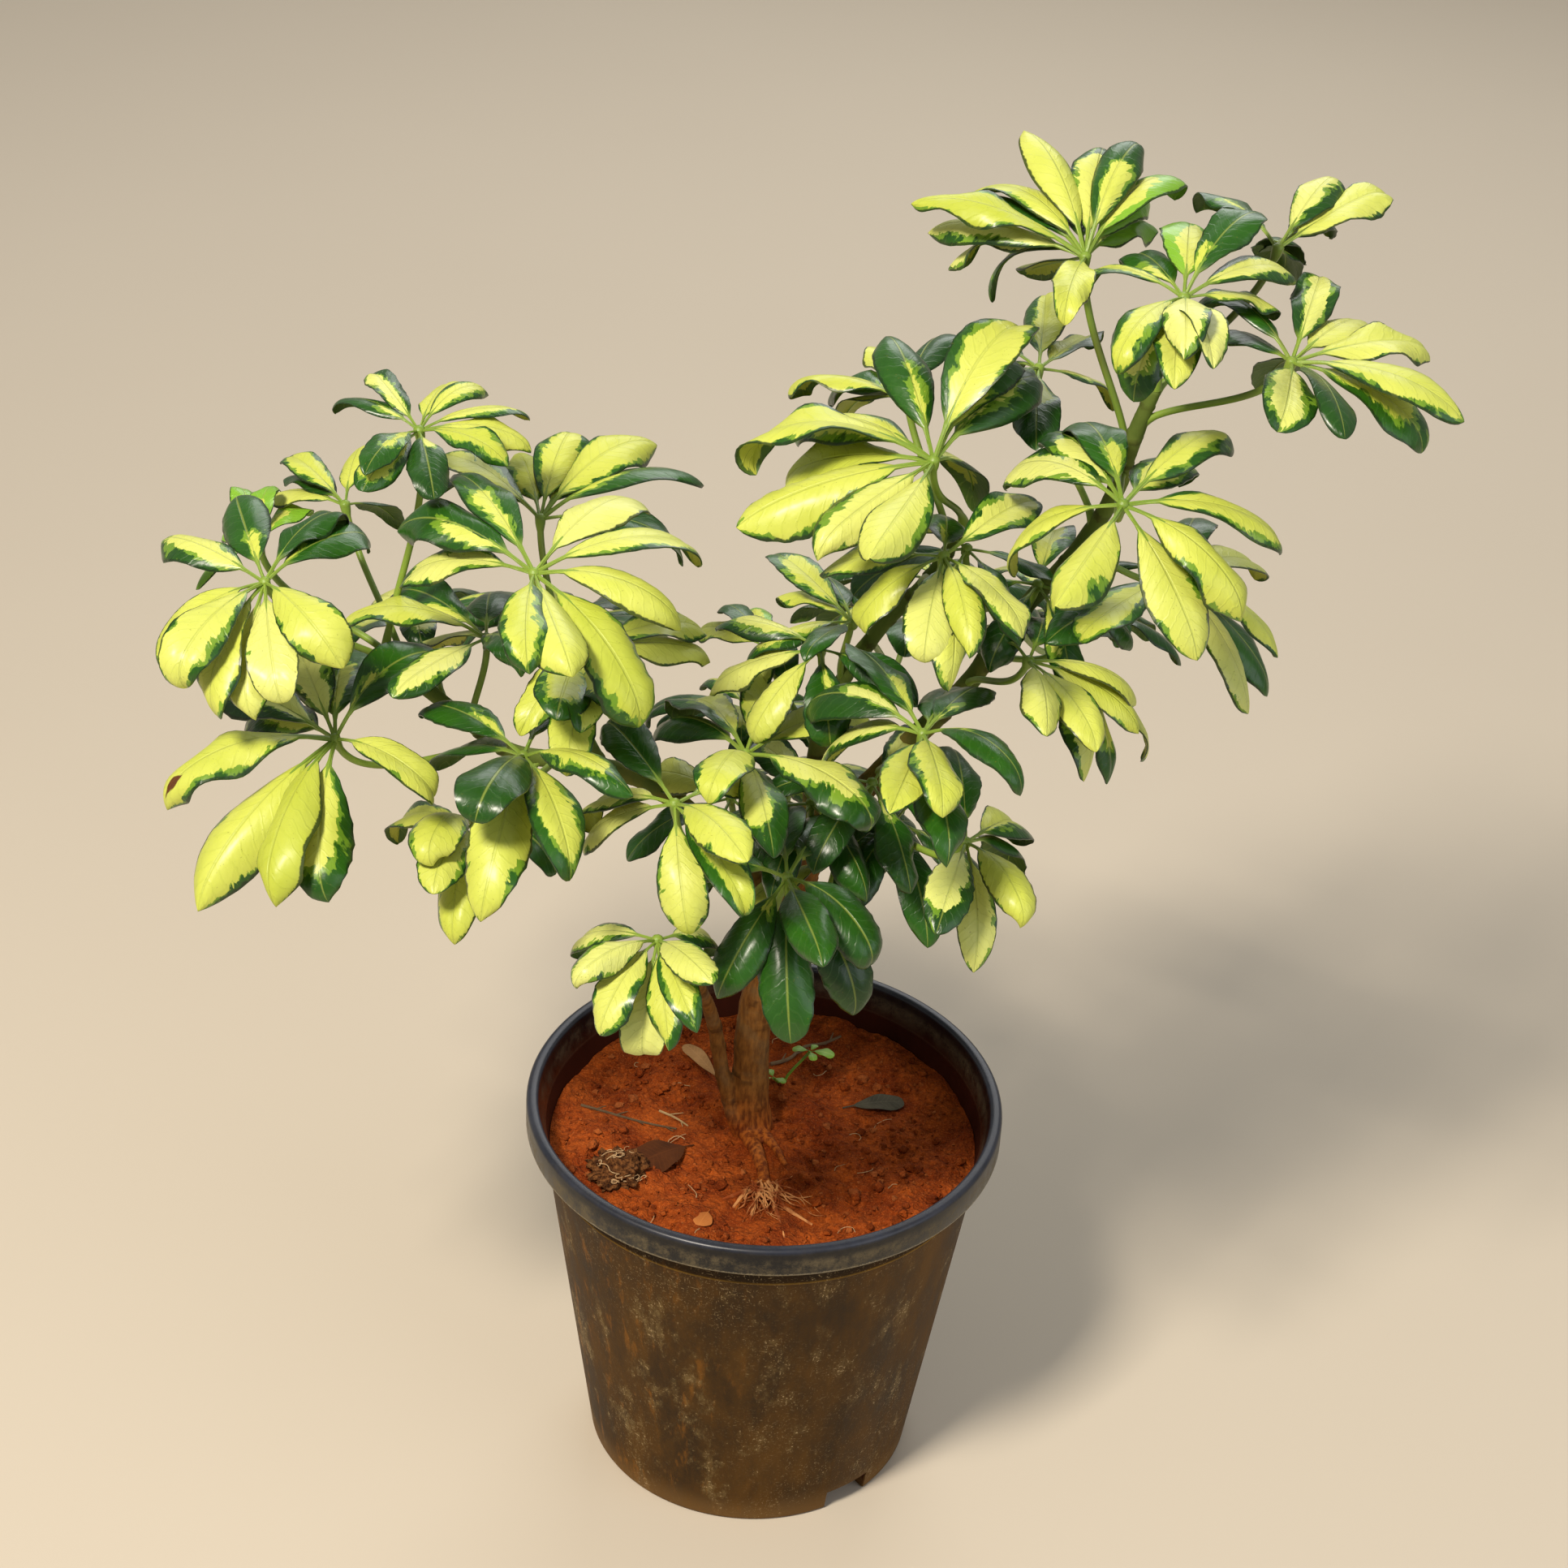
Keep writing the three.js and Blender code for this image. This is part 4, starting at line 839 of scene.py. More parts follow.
def stalk_skin():
    """Leaf stalks: fresh green, browner in patches."""
    skin = Finish("stalk_skin", Subsurface_Weight=0.1, Subsurface_Scale=0.001)
    spot = skin.place()
    cloud = skin.noise(spot, scale=24, detail=3)
    tired = skin.rise(skin.noise(spot, scale=13), 0.56, 0.7)
    base = skin.layered(skin.mix(cloud, "#5f7f28", "#93ab40"), (tired * 0.6, "#5e5e24"))
    lines = skin.noise(spot, scale=1400, stretch=(1, 1, 0.15))
    return skin.cover(base, cloud * 0.2 + 0.35, skin.bump(lines, strength=0.3, depth=0.3))


def bark():
    """Brown fissured bark that turns green on young wood, dusted red at the foot."""
    skin = Finish("bark", Specular_IOR_Level=0.15)
    spot = skin.place()
    height = skin.parts(spot)[2] / MM
    grain = skin.noise(spot, scale=420, detail=5, roughness=0.6, stretch=(1, 1, 0.3))
    patches = skin.noise(spot, scale=55, detail=4)
    old = skin.layered(
        skin.mix(skin.rise(grain, 0.25, 0.75), "#633c18", "#96642c"),
        (skin.rise(patches, 0.5, 0.7) * 0.45, "#7d6a48"))
    dust = skin.fall(height + patches * 30, 207, 240)
    wood = skin.layered(
        skin.mix(patches, "#3f5520", "#74823a"),
        (skin.rise(skin.attribute("age") + patches * 0.5, 0.45, 0.95), old),
        (skin.attribute("scar") * 0.6, "#33210f"),
        (dust * 0.9, skin.mix(skin.rise(grain, 0.35, 0.65), "#64260a", "#b5601f")))
    relief = grain * 0.5 + patches * 0.4
    return skin.cover(wood, 0.6 + grain * 0.25, skin.bump(relief, strength=0.6, depth=1))


def root_skin():
    """Roots and fibres: tan, stained red by the earth."""
    skin = Finish("root_skin", Specular_IOR_Level=0.2)
    spot = skin.place()
    stain = skin.rise(skin.noise(spot, scale=130, detail=3), 0.38, 0.6)
    fine = skin.noise(spot, scale=900, detail=3)
    base = skin.mix(stain, "#dc9a5e", "#944418")
    return skin.cover(base, 0.8, skin.bump(fine, strength=0.5, depth=0.5))


def laterite():
    """Red crumbly earth: rounded crumbs with painted shade in the gaps between them, dust and a few
    pale grains; the fine pale layer is also a painted highlight on the raised grain tops.
    """
    skin = Finish("laterite", Specular_IOR_Level=0.1)
    spot = skin.place()
    warp = skin.noise(spot, scale=190, detail=3, output=1)
    loose = skin.node("ShaderNodeVectorMath", {"operation": "MULTIPLY_ADD"},
                      {0: warp, 1: (0.006, 0.006, 0.006), 2: spot})
    coarse = skin.cells(loose, scale=210)
    small = skin.cells(loose, scale=480)
    fine = skin.noise(spot, scale=1300, detail=3, roughness=0.7)
    tone = skin.noise(spot, scale=48, detail=5, roughness=0.6)
    shade = skin.attribute("shade")
    base = skin.layered(
        skin.mix(skin.rise(tone, 0.36, 0.66), "#86360d", "#b2541a"),
        # These two dark layers follow the gaps between the cells: painted shade in the crevices between
        # crumbs
        (skin.rise(small, 0.3, 0.62) * 0.3, "#4d1a0a"),
        (skin.rise(coarse, 0.42, 0.7) * 0.3, "#421606"),
        # Pale dust on the fine grains, which is also a painted highlight on their raised tops
        (skin.rise(fine, 0.52, 0.68) * 0.5, "#c4703a"),
        (skin.rise(shade, 0.5, 1) * 0.6, "#c67a44"),
        (skin.fall(shade, 0, 0.5) * 0.7, "#4a1a08"))
    relief = fine * 0.35 - small * 0.8 - coarse * 1.1
    return skin.cover(base, 0.95, skin.bump(relief, strength=1, depth=1.2))


def black_plastic():
    """Moulded black plastic: a shiny scuffed lip with a painted highlight on its crest, and a wall
    under brown dust, fine grit and orange stains, with painted shade under the lip and painted
    light on the left; the inside is stained by the earth."""
    skin = Finish("black_plastic", Specular_IOR_Level=0.12, Coat_Roughness=0.3)
    spot = skin.place()
    x, _, z = skin.parts(spot)
    height = z / MM
    patches = skin.noise(spot, scale=11, detail=6, roughness=0.66)
    smears = skin.noise(spot, scale=40, detail=7, roughness=0.7, stretch=(1, 1, 0.4))
    chalk = skin.noise(spot, scale=48, detail=8, roughness=0.78, stretch=(1, 1, 0.6))
    streak = skin.noise(spot, scale=125, detail=7, roughness=0.66, stretch=(1, 1, 0.3))
    upright = skin.noise(spot, scale=1300, detail=1, stretch=(1, 1, 0.14))
    level = skin.noise(spot, scale=1100, detail=1, stretch=(0.18, 0.18, 1))
    grit = skin.noise(spot, scale=820, roughness=0.6)
    scuff = skin.rise(skin.noise(spot, scale=60, detail=9, roughness=0.85), 0.4, 0.6)
    film = skin.rise(patches * 0.2 + smears * 0.8, 0.22, 0.66)
    pale = skin.rise(chalk, 0.52, 0.68)
    # 1 on the pot's left side. It lightens the pale dust there as painted light, on the side where the
    # key light falls, and keeps the real orange stains to that side
    left = skin.fall(x / MM + patches * 60, -20, 60)
    foot = skin.fall(height + smears * 20, 12, 32)
    # Painted shade: a darker band just under the lip, where the lip's shadow falls
    under_lip_shadow = skin.rise(height + smears * 4, 189, 196)
    seam = skin.fall(skin.maths("ABSOLUTE", height - MOULD_LINE_HEIGHT), 0.3, 0.9)
    hairs = skin.rise(skin.most(upright, level), 0.7, 0.76)
    specks = skin.most(skin.rise(grit, 0.6, 0.67), hairs) * skin.rise(pale * 0.6 + patches, 0.4, 0.95)
    wall = skin.layered(
        "#231809",
        (film * 0.9, skin.mix(smears, "#382409", "#6a491c")),
        # Pale dust, made lighter on the left side as painted light
        (pale * (0.4 + left * 0.25), "#857048"),
        (skin.rise(streak, 0.54, 0.7) * left * 0.5, "#96601c"),
        (foot * 0.55, "#7d5d34"),
        (under_lip_shadow * 0.65, "#120d08"),
        (seam * smears, "#97722e"),
        (specks * 0.8, "#bda47a"))
    skirt = skin.fall(height + smears * 3, 213, 217.5)
    # A blue-grey film on the lip's crest: worn plastic that also stands for a painted highlight along the
    # top edge
    crest_highlight_and_wear = skin.rise(height + smears * 2, 218, 220.5)
    worn = skin.fall(height + grit * 2, 205.8, 206.8)
    dusty = scuff * (0.08 + skirt * 0.62) * (0.5 + grit)
    rim = skin.layered(
        "#08080d",
        (dusty, "#6c6049"),
        (crest_highlight_and_wear * smears * 0.6, "#454b5c"),
        (worn * 0.6, "#a39679"))
    lip = skin.rise(height, 203.5, 205.5)
    inside = skin.attribute("inside") * (1 - skin.rise(height, 203, 216) * 0.8)
    base = skin.layered(wall, (lip, rim), (inside, skin.mix(smears, "#1d0b04", "#4c1c0a")))
    roughness = 0.5 + film * 0.2 - lip * 0.24 + dusty * lip * 0.3
    relief = grit * 0.35 + smears * 0.65
    return skin.cover(base, roughness, skin.bump(relief, strength=0.35, depth=0.7),
                      coat=lip * (0.5 - dusty * 0.5))


def dry_leaf(name, light, dark):
    """A fallen leaf: two browns, clouded and veined."""
    skin = Finish(name, Specular_IOR_Level=0.15)
    pattern = Variegation(skin)
    cloud = skin.noise(skin.place(), scale=120, detail=4)
    base = skin.layered(skin.mix(cloud, dark, light), (pattern.veins() * 0.4, light),
                        (pattern.rib * 0.5, light))
    return skin.cover(base, 0.8, skin.bump(cloud, strength=0.5, depth=0.8))


def weed_leaf():
    """Small soft weed leaf."""
    skin = Finish("weed_leaf", Subsurface_Weight=0.15, Subsurface_Scale=0.001)
    cloud = skin.noise(skin.place(), scale=160)
    base = skin.layered(skin.mix(cloud, "#5c8a22", "#8fb93a"), (Variegation(skin).rib * 0.5, "#b6d066"))
    return skin.cover(base, 0.5, skin.bump(cloud, strength=0.3, depth=0.4))


def dry_stem(name, light, dark):
    """Straw and twigs: fibrous, clouded between two browns."""
    skin = Finish(name, Specular_IOR_Level=0.15)
    cloud = skin.noise(skin.place(), scale=210, detail=4)
    return skin.cover(skin.mix(cloud, dark, light), 0.75, skin.bump(cloud, strength=0.5, depth=0.5))


def clod_earth():
    """Dark peaty crumb."""
    skin = Finish("clod_earth", Specular_IOR_Level=0.1)
    crumbs = skin.noise(skin.place(), scale=420, detail=5, roughness=0.7)
    base = skin.mix(skin.rise(crumbs, 0.35, 0.68), "#2c150a", "#85562f")
    return skin.cover(base, 0.95, skin.bump(crumbs, strength=0.9, depth=1.4))


def pale_floor():
    """Plain pale floor with a faint cloud."""
    skin = Finish("pale_floor")
    cloud = skin.noise(skin.place(), scale=1.5, detail=3)
    return skin.cover(skin.mix(cloud, "#c6bba9", "#ccc1af"), 0.9)


# Pot


def wall_radius(z):
    """Outside radius of the pot's wall at a height below the lip."""
    return BASE_RADIUS + (NECK_RADIUS - BASE_RADIUS) * z / LIP_FOOT


def pot_profile():
    """The pot's outline from the middle of its underside, round the lip to its floor."""
    mouth = RIM_RADIUS - RIM_TOP_WIDTH
    edge_turn = WALL / 2
    line_foot = MOULD_LINE_HEIGHT - 2 * MOULD_LINE
    line_top = MOULD_LINE_HEIGHT + 2 * MOULD_LINE
    return [
        (0, 0),
        *rounded(BASE_RADIUS - BASE_TURN, BASE_TURN, BASE_TURN, -90, 0),
        (wall_radius(line_foot), line_foot),
        (wall_radius(MOULD_LINE_HEIGHT) + MOULD_LINE, MOULD_LINE_HEIGHT),
        (wall_radius(line_top), line_top),
        (wall_radius(LIP_FOOT), LIP_FOOT),
        (mouth + WALL / 2, POT_HEIGHT - 2 * WALL),
        (RIM_RADIUS - WALL, POT_HEIGHT - 2 * WALL),
        (RIM_RADIUS - WALL, LIP_FOOT + edge_turn),
        *rounded(RIM_RADIUS - edge_turn, LIP_FOOT + edge_turn, edge_turn, -180, 0),
        *rounded(RIM_RADIUS - TOP_TURN, POT_HEIGHT - TOP_TURN, TOP_TURN, 0, 90),
        *rounded(mouth + TOP_TURN, POT_HEIGHT - TOP_TURN, TOP_TURN, 90, 180),
        (wall_radius(LIP_FOOT) - WALL, LIP_FOOT),
        (wall_radius(FLOOR) - WALL, FLOOR),
        (0, FLOOR),
    ]


def combined(body, operation, tool):
    """Joins a tool to a body or cuts it out, and removes the tool."""
    modified(body, "BOOLEAN", operation=operation, solver="EXACT", object=tool)
    bpy.data.objects.remove(tool)


def notch_blocks(near, far, margin, foot):
    """A block at each notch, from a distance off the pot's middle to another, as wide and high
    as the notch and thicker by a margin."""
    top = NOTCH_HEIGHT + margin
    blocks = []
    for degrees in NOTCH_ANGLES:
        turn = Matrix.Rotation(math.radians(degrees), 3, "Z")
        middle = turn @ mm((near + far) / 2, 0, (top + foot) / 2)
        blocks.append(started(bpy.ops.mesh.primitive_cube_add, "notch", size=1, location=middle,
                              rotation=(0, 0, math.radians(degrees)),
                              scale=mm(far - near, NOTCH_WIDTH + 2 * margin, top - foot)))
    return settled(joined("notches", blocks))


def is_inside(place):
    """Whether a place on the pot is on the inside of its wall."""
    height = place.z / MM
    reach = wall_radius(height) - WALL / 2
    return float(height > FLOOR - 0.5 and math.hypot(place.x, place.y) / MM < reach)


def make_pot():
    pot = turned("nursery_pot", pot_profile(), POT_STEPS)
    back = BASE_RADIUS - NOTCH_DEPTH
    combined(pot, "UNION", notch_blocks(back - WALL, NOTCH_LINING_REACH, WALL, FLOOR / 2))
    combined(pot, "DIFFERENCE", notch_blocks(back, RIM_RADIUS, 0, -WALL))
    modified(pot, "BEVEL", width=POT_BEVEL * MM, segments=2, limit_method="ANGLE",
             angle_limit=math.radians(60))
    pot.data.materials.append(black_plastic())
    paint(pot, "inside", [is_inside(corner.co) for corner in pot.data.vertices])
    finished(pot, "pot", "pot")


# Earth


def earth_height(x, y):
    """Height of the lumpy earth at a place."""
    return EARTH_LEVEL + sum(size * math.sin(along_x * x + along_y * y + start)
                             for size, along_x, along_y, start in EARTH_WAVES)


def on_earth(x, y, lift=0):
    return mm(x, y, earth_height(x, y) + lift)


def litter_lines():
    """The lines along which litter and roots lie, each as its two ends."""
    lines = [(Vector(CLOD_CENTRE), Vector(CLOD_CENTRE) + Vector((1, 0)))]
    for leaf in FALLEN_LEAVES.values():
        heading = math.radians(leaf.heading)
        start = Vector(leaf.start)
        lines.append((start, start + Vector((math.cos(heading), math.sin(heading))) * leaf.length))
    for row in [twig.points for twig in TWIGS.values()] + SURFACE_ROOTS + FIBRE_ROOTS:
        lines += [(Vector(a[:2]), Vector(b[:2])) for a, b in zip(row, row[1:])]
    return lines


LITTER_LINES = litter_lines()


def calm(x, y):
    """0 under litter and roots, where the earth lies smooth, and 1 well away from them."""
    place = Vector((x, y))
    nearest = LITTER_REACH
    for start, end in LITTER_LINES:
        foot, share = intersect_point_line(place, start, end)
        foot = start if share < 0 else end if share > 1 else foot.to_2d()
        nearest = min(nearest, (place - foot.to_2d()).length)
    return nearest / LITTER_REACH


def crumble(x, y):
    """Height that the crumbled surface adds at a place."""
    lumps = sum(height * noise.noise(Vector((x, y, lump)) / lump) for lump, height in EARTH_LUMPS)
    return lumps * calm(x, y)


def make_earth(soil):
    top_radius = wall_radius(EARTH_LEVEL) - WALL - GAP
    rings = round(top_radius / EARTH_RING_WIDTH)
    foot = FLOOR + GAP
    profile = [(top_radius * i / rings, EARTH_LEVEL) for i in range(rings + 1)]
    profile += [(wall_radius(foot) - WALL - GAP, foot), (0, foot)]
    earth = turned("red_earth", profile, EARTH_STEPS)
    back = BASE_RADIUS - NOTCH_DEPTH - WALL - GAP
    combined(earth, "DIFFERENCE", notch_blocks(back, RIM_RADIUS, WALL + GAP, 0))
    for corner in earth.data.vertices:
        if corner.co.z > (EARTH_LEVEL - 1) * MM:
            x = corner.co.x / MM
            y = corner.co.y / MM
            corner.co.z = (earth_height(x, y) + crumble(x, y)) * MM
    earth.data.materials.append(soil)
    paint(earth, "shade", 0.5)
    finished(earth, "earth", "earth", crease=60)


def spot_on_earth(reach):
    """A random place on the earth, within a share of its radius."""
    radius = (wall_radius(EARTH_LEVEL) - 2 * WALL) * reach * math.sqrt(chance.random())
    angle = chance.uniform(0, TURN)
    return radius * math.cos(angle), radius * math.sin(angle)


def make_crumbs(soil):
    """Loose crumbs and small clods lying on the earth."""
    crumbs = []
    for name, (finesse, count, smallest, largest) in CRUMBS.items():
        model = started(bpy.ops.mesh.primitive_ico_sphere_add, name, subdivisions=finesse, radius=MM)
        for corner in model.data.vertices:
            corner.co *= 1 + CRUMB_KNOBS * noise.noise(corner.co / MM * CRUMB_KNOB_SIZE)
        model.data.materials.append(soil)
        for i in range(count):
            x, y = spot_on_earth(CRUMB_REACH)
            if calm(x, y) < CRUMB_CALM:
                continue
            size = chance.uniform(smallest, largest) * chance.uniform(*CRUMB_SHRINKS)
            depth = size * chance.uniform(*CRUMB_DEPTHS)
            height = size * chance.uniform(*CRUMB_HEIGHTS)
            shape = Matrix.Diagonal((size, depth, height, 1))
            turn = Matrix.Rotation(chance.uniform(0, TURN), 4, "Z")
            place = on_earth(x, y, crumble(x, y) + size * CRUMB_LIFT)
            crumb = copied(model, f"{name}_{i}")
            crumb.data.transform(Matrix.Translation(place) @ turn @ shape)
            paint(crumb, "shade", chance.uniform(*CRUMB_SHADES))
            crumbs.append(crumb)
        bpy.data.objects.remove(model)
    finished(joined("earth_crumbs", crumbs), "earth", crease=70)


def wandering_line(start, heading, length, swing, lift, curl=0):
    """A line that wanders off, curls one way and comes down to the earth from a lift."""
    x, y = start
    points = [on_earth(x, y, lift)]
    for step in range(1, WANDER_STEPS + 1):
        heading += curl + chance.uniform(-swing, swing)
        x += math.cos(heading) * length / WANDER_STEPS
        y += math.sin(heading) * length / WANDER_STEPS
        height = lift * (1 - step / WANDER_STEPS) + chance.uniform(*WANDER_HEIGHTS)
        points.append(on_earth(x, y, height))
    return points


def make_rootlets(straw):
    """Pale dead rootlets strewn on the earth."""
    rootlets = []
    for i in range(ROOTLETS):
        line = wandering_line(spot_on_earth(ROOTLET_REACH), heading=chance.uniform(0, TURN),
                              length=chance.uniform(*ROOTLET_LENGTHS), swing=ROOTLET_SWING,
                              lift=ROOTLET_LIFT, curl=chance.uniform(*ROOTLET_CURLS))
        radii = [chance.uniform(*ROOTLET_RADII) * MM] * len(line)
        rootlets.append(tube(f"rootlet_{i}", line, radii, straw, roundness=0))
    finished(joined("strewn_rootlets", rootlets), "litter")


# Trunk, branches and roots


def stem_samples():
    """Places along every stem with its age there and the distance from the stem's start."""
    samples = []
    for name, rows in STEMS.items():
        walked = 0
        for (*start, r0), (*end, r1) in zip(rows, rows[1:]):
            step = mm(*end) - mm(*start)
            for i in range(AGE_SAMPLES):
                share = i / AGE_SAMPLES
                radius = r0 + (r1 - r0) * share
                age = (radius - NEW_WOOD) / (OLD_WOOD - NEW_WOOD) + BROWNER.get(name, 0)
                samples.append((mm(*start) + step * share, max(0, min(1, age)),
                                walked + step.length * share / MM))
            walked += step.length / MM
    return samples


def root_tube(name, row, skin, roundness=2):
    points = [on_earth(x, y, radius * ROOT_LIFT) for x, y, radius in row]
    return tube(name, points, [radius * MM for *_, radius in row], skin, roundness)


def make_trunk():
    wood = bark()
    tubes = []
    for name, rows in STEMS.items():
        points = [mm(x, y, z) for x, y, z, _ in rows]
        radii = [radius * MM for *_, radius in rows]
        tubes.append(tube(name, points, radii, wood, roundness=4, smoothness=8))
    tubes += [root_tube("root", row, wood, roundness=4) for row in SURFACE_ROOTS]
    trunk = joined("trunk_and_branches", tubes)
    modified(trunk, "REMESH", mode="VOXEL", voxel_size=BARK_VOXEL * MM)
    modified(trunk, "SMOOTH", factor=0.5, iterations=5)
    samples = stem_samples()
    tree = KDTree(len(samples))
    for i, (place, _, _) in enumerate(samples):
        tree.insert(place, i)
    tree.balance()
    ages = []
    scars = []
    normals = [corner.normal.copy() for corner in trunk.data.vertices]
    for corner, normal in zip(trunk.data.vertices, normals):
        _, i, _ = tree.find(corner.co)
        _, age, walked = samples[i]
        x, y, z = corner.co
        grain = noise.noise(Vector((x, y, z * GRAIN_STRETCH)) / (GRAIN_SIZE * MM))
        knobs = noise.noise(corner.co / (KNOB_SIZE * MM))
        wander = noise.noise(corner.co / (RING_WANDER_SIZE * MM)) * RING_WANDER
        ring = abs((walked + wander) % RING_SPACING - RING_SPACING / 2)
        scar = max(0, 1 - ring / RING_WIDTH)
        relief = grain * GRAIN_HEIGHT * age + knobs * KNOB_HEIGHT + scar * RING_HEIGHT
        corner.co += normal * relief * MM
        ages.append(age)
        scars.append(scar)
    paint(trunk, "age", ages)
    paint(trunk, "scar", scars)
    trunk.data.materials.clear()
    trunk.data.materials.append(wood)
    finished(trunk, "bark", "trunk", crease=80)


def make_root_tuft(fibre):
    """The fibrous tuft where the root forks and meets the earth."""
    fibres = [root_tube("fibre", row, fibre) for row in FIBRE_ROOTS]
    for i in range(FINE_FIBRES):
        start = [chance.uniform(*span) for span in FIBRE_STARTS]
        line = wandering_line(start, heading=chance.uniform(*FIBRE_HEADINGS),
                              length=chance.uniform(*FIBRE_LENGTHS), swing=FIBRE_SWING,
                              lift=FIBRE_LIFT)
        thick = chance.uniform(*FIBRE_RADII) * MM
        radii = [thick * (1 - FIBRE_TAPER * k / WANDER_STEPS) for k in range(WANDER_STEPS + 1)]
        fibres.append(tube(f"fine_fibre_{i}", line, radii, fibre, roundness=1))
    finished(joined("root_tuft", fibres), "bark")


# Leaves


def half_width(share, spread):
    """Half width of a leaflet one long: a narrow stalk, then a blade widest beyond its middle."""
    if share <= STALK_SHARE:
        return STALK_HALF_WIDTH
    place = (share - STALK_SHARE) / (1 - STALK_SHARE)
    widest = OUTLINE_BASE / (OUTLINE_BASE + OUTLINE_TIP)
    full = widest ** OUTLINE_BASE * (1 - widest) ** OUTLINE_TIP
    outline = place ** OUTLINE_BASE * (1 - place) ** OUTLINE_TIP / full
    return max(STALK_HALF_WIDTH * (1 - place), spread * outline)


def flat_leaflet(name, spread, face, back, stalk):
    """A flat leaflet one long along X, with the rib under it: modelled once, then copied."""
    blade = started(bpy.ops.mesh.primitive_grid_add, name, x_subdivisions=BLADE_STEPS,
                    y_subdivisions=BLADE_LANES, size=1, location=(0.5, 0, 0))
    settled(blade)
    near = 0.2 / BLADE_STEPS
    shares = [i / BLADE_STEPS for i in range(BLADE_STEPS + 1)]
    crowded = [1 - (1 - share) ** TIP_CROWDING for share in shares]
    with editing(blade):
        for share, place in reversed(list(zip(shares, crowded))):
            choose(blade, lambda corner, x=share: abs(corner.x - x) < near)
            bpy.ops.transform.translate(value=(place - share, 0, 0))
    chart = blade.data.uv_layers[0]
    chart.name = "blade"
    for loop in blade.data.loops:
        corner = blade.data.vertices[loop.vertex_index].co
        chart.data[loop.index].uv = (corner.x, corner.y + 0.5)
    with editing(blade):
        for place in crowded:
            choose(blade, lambda corner, x=place: abs(corner.x - x) < near / 10)
            width = max(2 * half_width(place, spread), near / 100)
            bpy.ops.transform.resize(value=(1, width, 1), center_override=(place, 0, 0))
        bpy.ops.mesh.select_all(action="SELECT")
        bpy.ops.mesh.remove_doubles(threshold=near / 100)
    blade.data.materials.append(face)
    blade.data.materials.append(back)
    modified(blade, "SOLIDIFY", thickness=BLADE_THICKNESS, offset=-1, material_offset=1)
    points = [Vector((share, 0, height)) for share, height, _ in RIB]
    rib = tube("rib", points, [radius for *_, radius in RIB], stalk, roundness=1, smoothness=3)
    return joined(name, [blade, rib])


def leaf_habit(slim):
    """How one leaflet is curled, folded, waved, twisted and narrowed."""
    curl = chance.uniform(*(HOOKED_CURL if chance.random() < HOOKED else LOOSE_CURL))
    habit = Habit(curl, *[chance.uniform(*span) for span in HABITS.values()])
    return habit._replace(breadth=habit.breadth * slim)


def bend(leaflet, hub, axis, heading, rise, droop, length, spread, habit):
    """Carries a flat leaflet along its midrib: out of the hub, up, and over in its droop."""
    level = (Vector((1, 0, 0)) - axis * axis.x).normalized()
    outward = Matrix.Rotation(math.radians(heading), 3, axis) @ level
    side = axis.cross(outward)
    rise, droop, curl = map(math.radians, (rise, droop, habit.curl))

    def pitch(share):
        hooked = max(0, (share - CURL_START) / (1 - CURL_START)) ** 2
        return rise - droop * share ** DROOP_POWER - curl * hooked

    def along(angle):
        return outward * math.cos(angle) + axis * math.sin(angle)

    midrib = [hub.copy()]
    for step in range(MIDRIB_STEPS):
        midrib.append(midrib[-1] + along(pitch((step + 0.5) / MIDRIB_STEPS)) * (length / MIDRIB_STEPS))
    for corner in leaflet.data.vertices:
        x, y, z = corner.co
        share = min(max(x, 0), 1)
        step = min(int(share * MIDRIB_STEPS), MIDRIB_STEPS - 1)
        centre = midrib[step].lerp(midrib[step + 1], share * MIDRIB_STEPS - step)
        width = half_width(share, spread)
        lane = max(-1, min(1, y / width)) if width else 0
        flank = habit.phase if lane > 0 else habit.phase * 2
        ripple = math.sin(TURN * RIPPLES * share + flank * 3) * habit.ripple
        sway = math.sin(TURN * habit.waves * share + flank)
        lift = width * (habit.fold * abs(lane) - habit.camber * lane ** 2 + habit.wave * sway * lane ** 2)
        direction = along(pitch(share))
        face = direction.cross(side)
        twist = math.radians(habit.twist) * share
        across = side * math.cos(twist) + face * math.sin(twist)
        upward = face * math.cos(twist) - side * math.sin(twist)
        blade = max(0, (share - STALK_SHARE) / (1 - STALK_SHARE))
        breadth = habit.breadth * (1 + TIP_TRACE - blade) ** habit.taper if blade else 1
        offset = y * (1 + ripple) * breadth + habit.sickle * share ** 2
        corner.co = centre + across * (offset * length) + upward * ((z + lift) * length)


def point_along(stem, share):
    """Place at a share of a stem's length."""
    points = [mm(*row[:3]) for row in STEMS[stem]]
    left = share * sum((b - a).length for a, b in zip(points, points[1:]))
    for a, b in zip(points, points[1:]):
        reach = (b - a).length
        if left <= reach:
            return a.lerp(b, left / reach)
        left -= reach
    return points[-1]


def leaf_stalk(name, leaf, hub, axis, skin):
    """Curved stalk that leaves its stem from a swollen foot and rises into the hub."""
    foot = point_along(leaf.stem, leaf.at)
    reach = (hub - foot).length
    bow = mm(*leaf.bow)
    leaving = (hub - foot).normalized() * STALK_OUTWARD + UP * STALK_UPWARD
    handle = STALK_HANDLE * reach
    line = interpolate_bezier(foot, foot + leaving * handle + bow, hub - axis * handle + bow, hub,
                              STALK_STATIONS)
    radii = [STALK_FOOT_RADIUS, (STALK_FOOT_RADIUS + STALK_RADIUS) / 2]
    radii += [STALK_RADIUS] * (STALK_STATIONS - 3)
    line.pop()
    for place, share in HUB_TURN:
        line.append(hub + axis * HUB_HALF_LENGTH * place * MM)
        radii.append(HUB_RADIUS * share)
    return tube(name, line, [radius * MM for radius in radii], skin, smoothness=3)


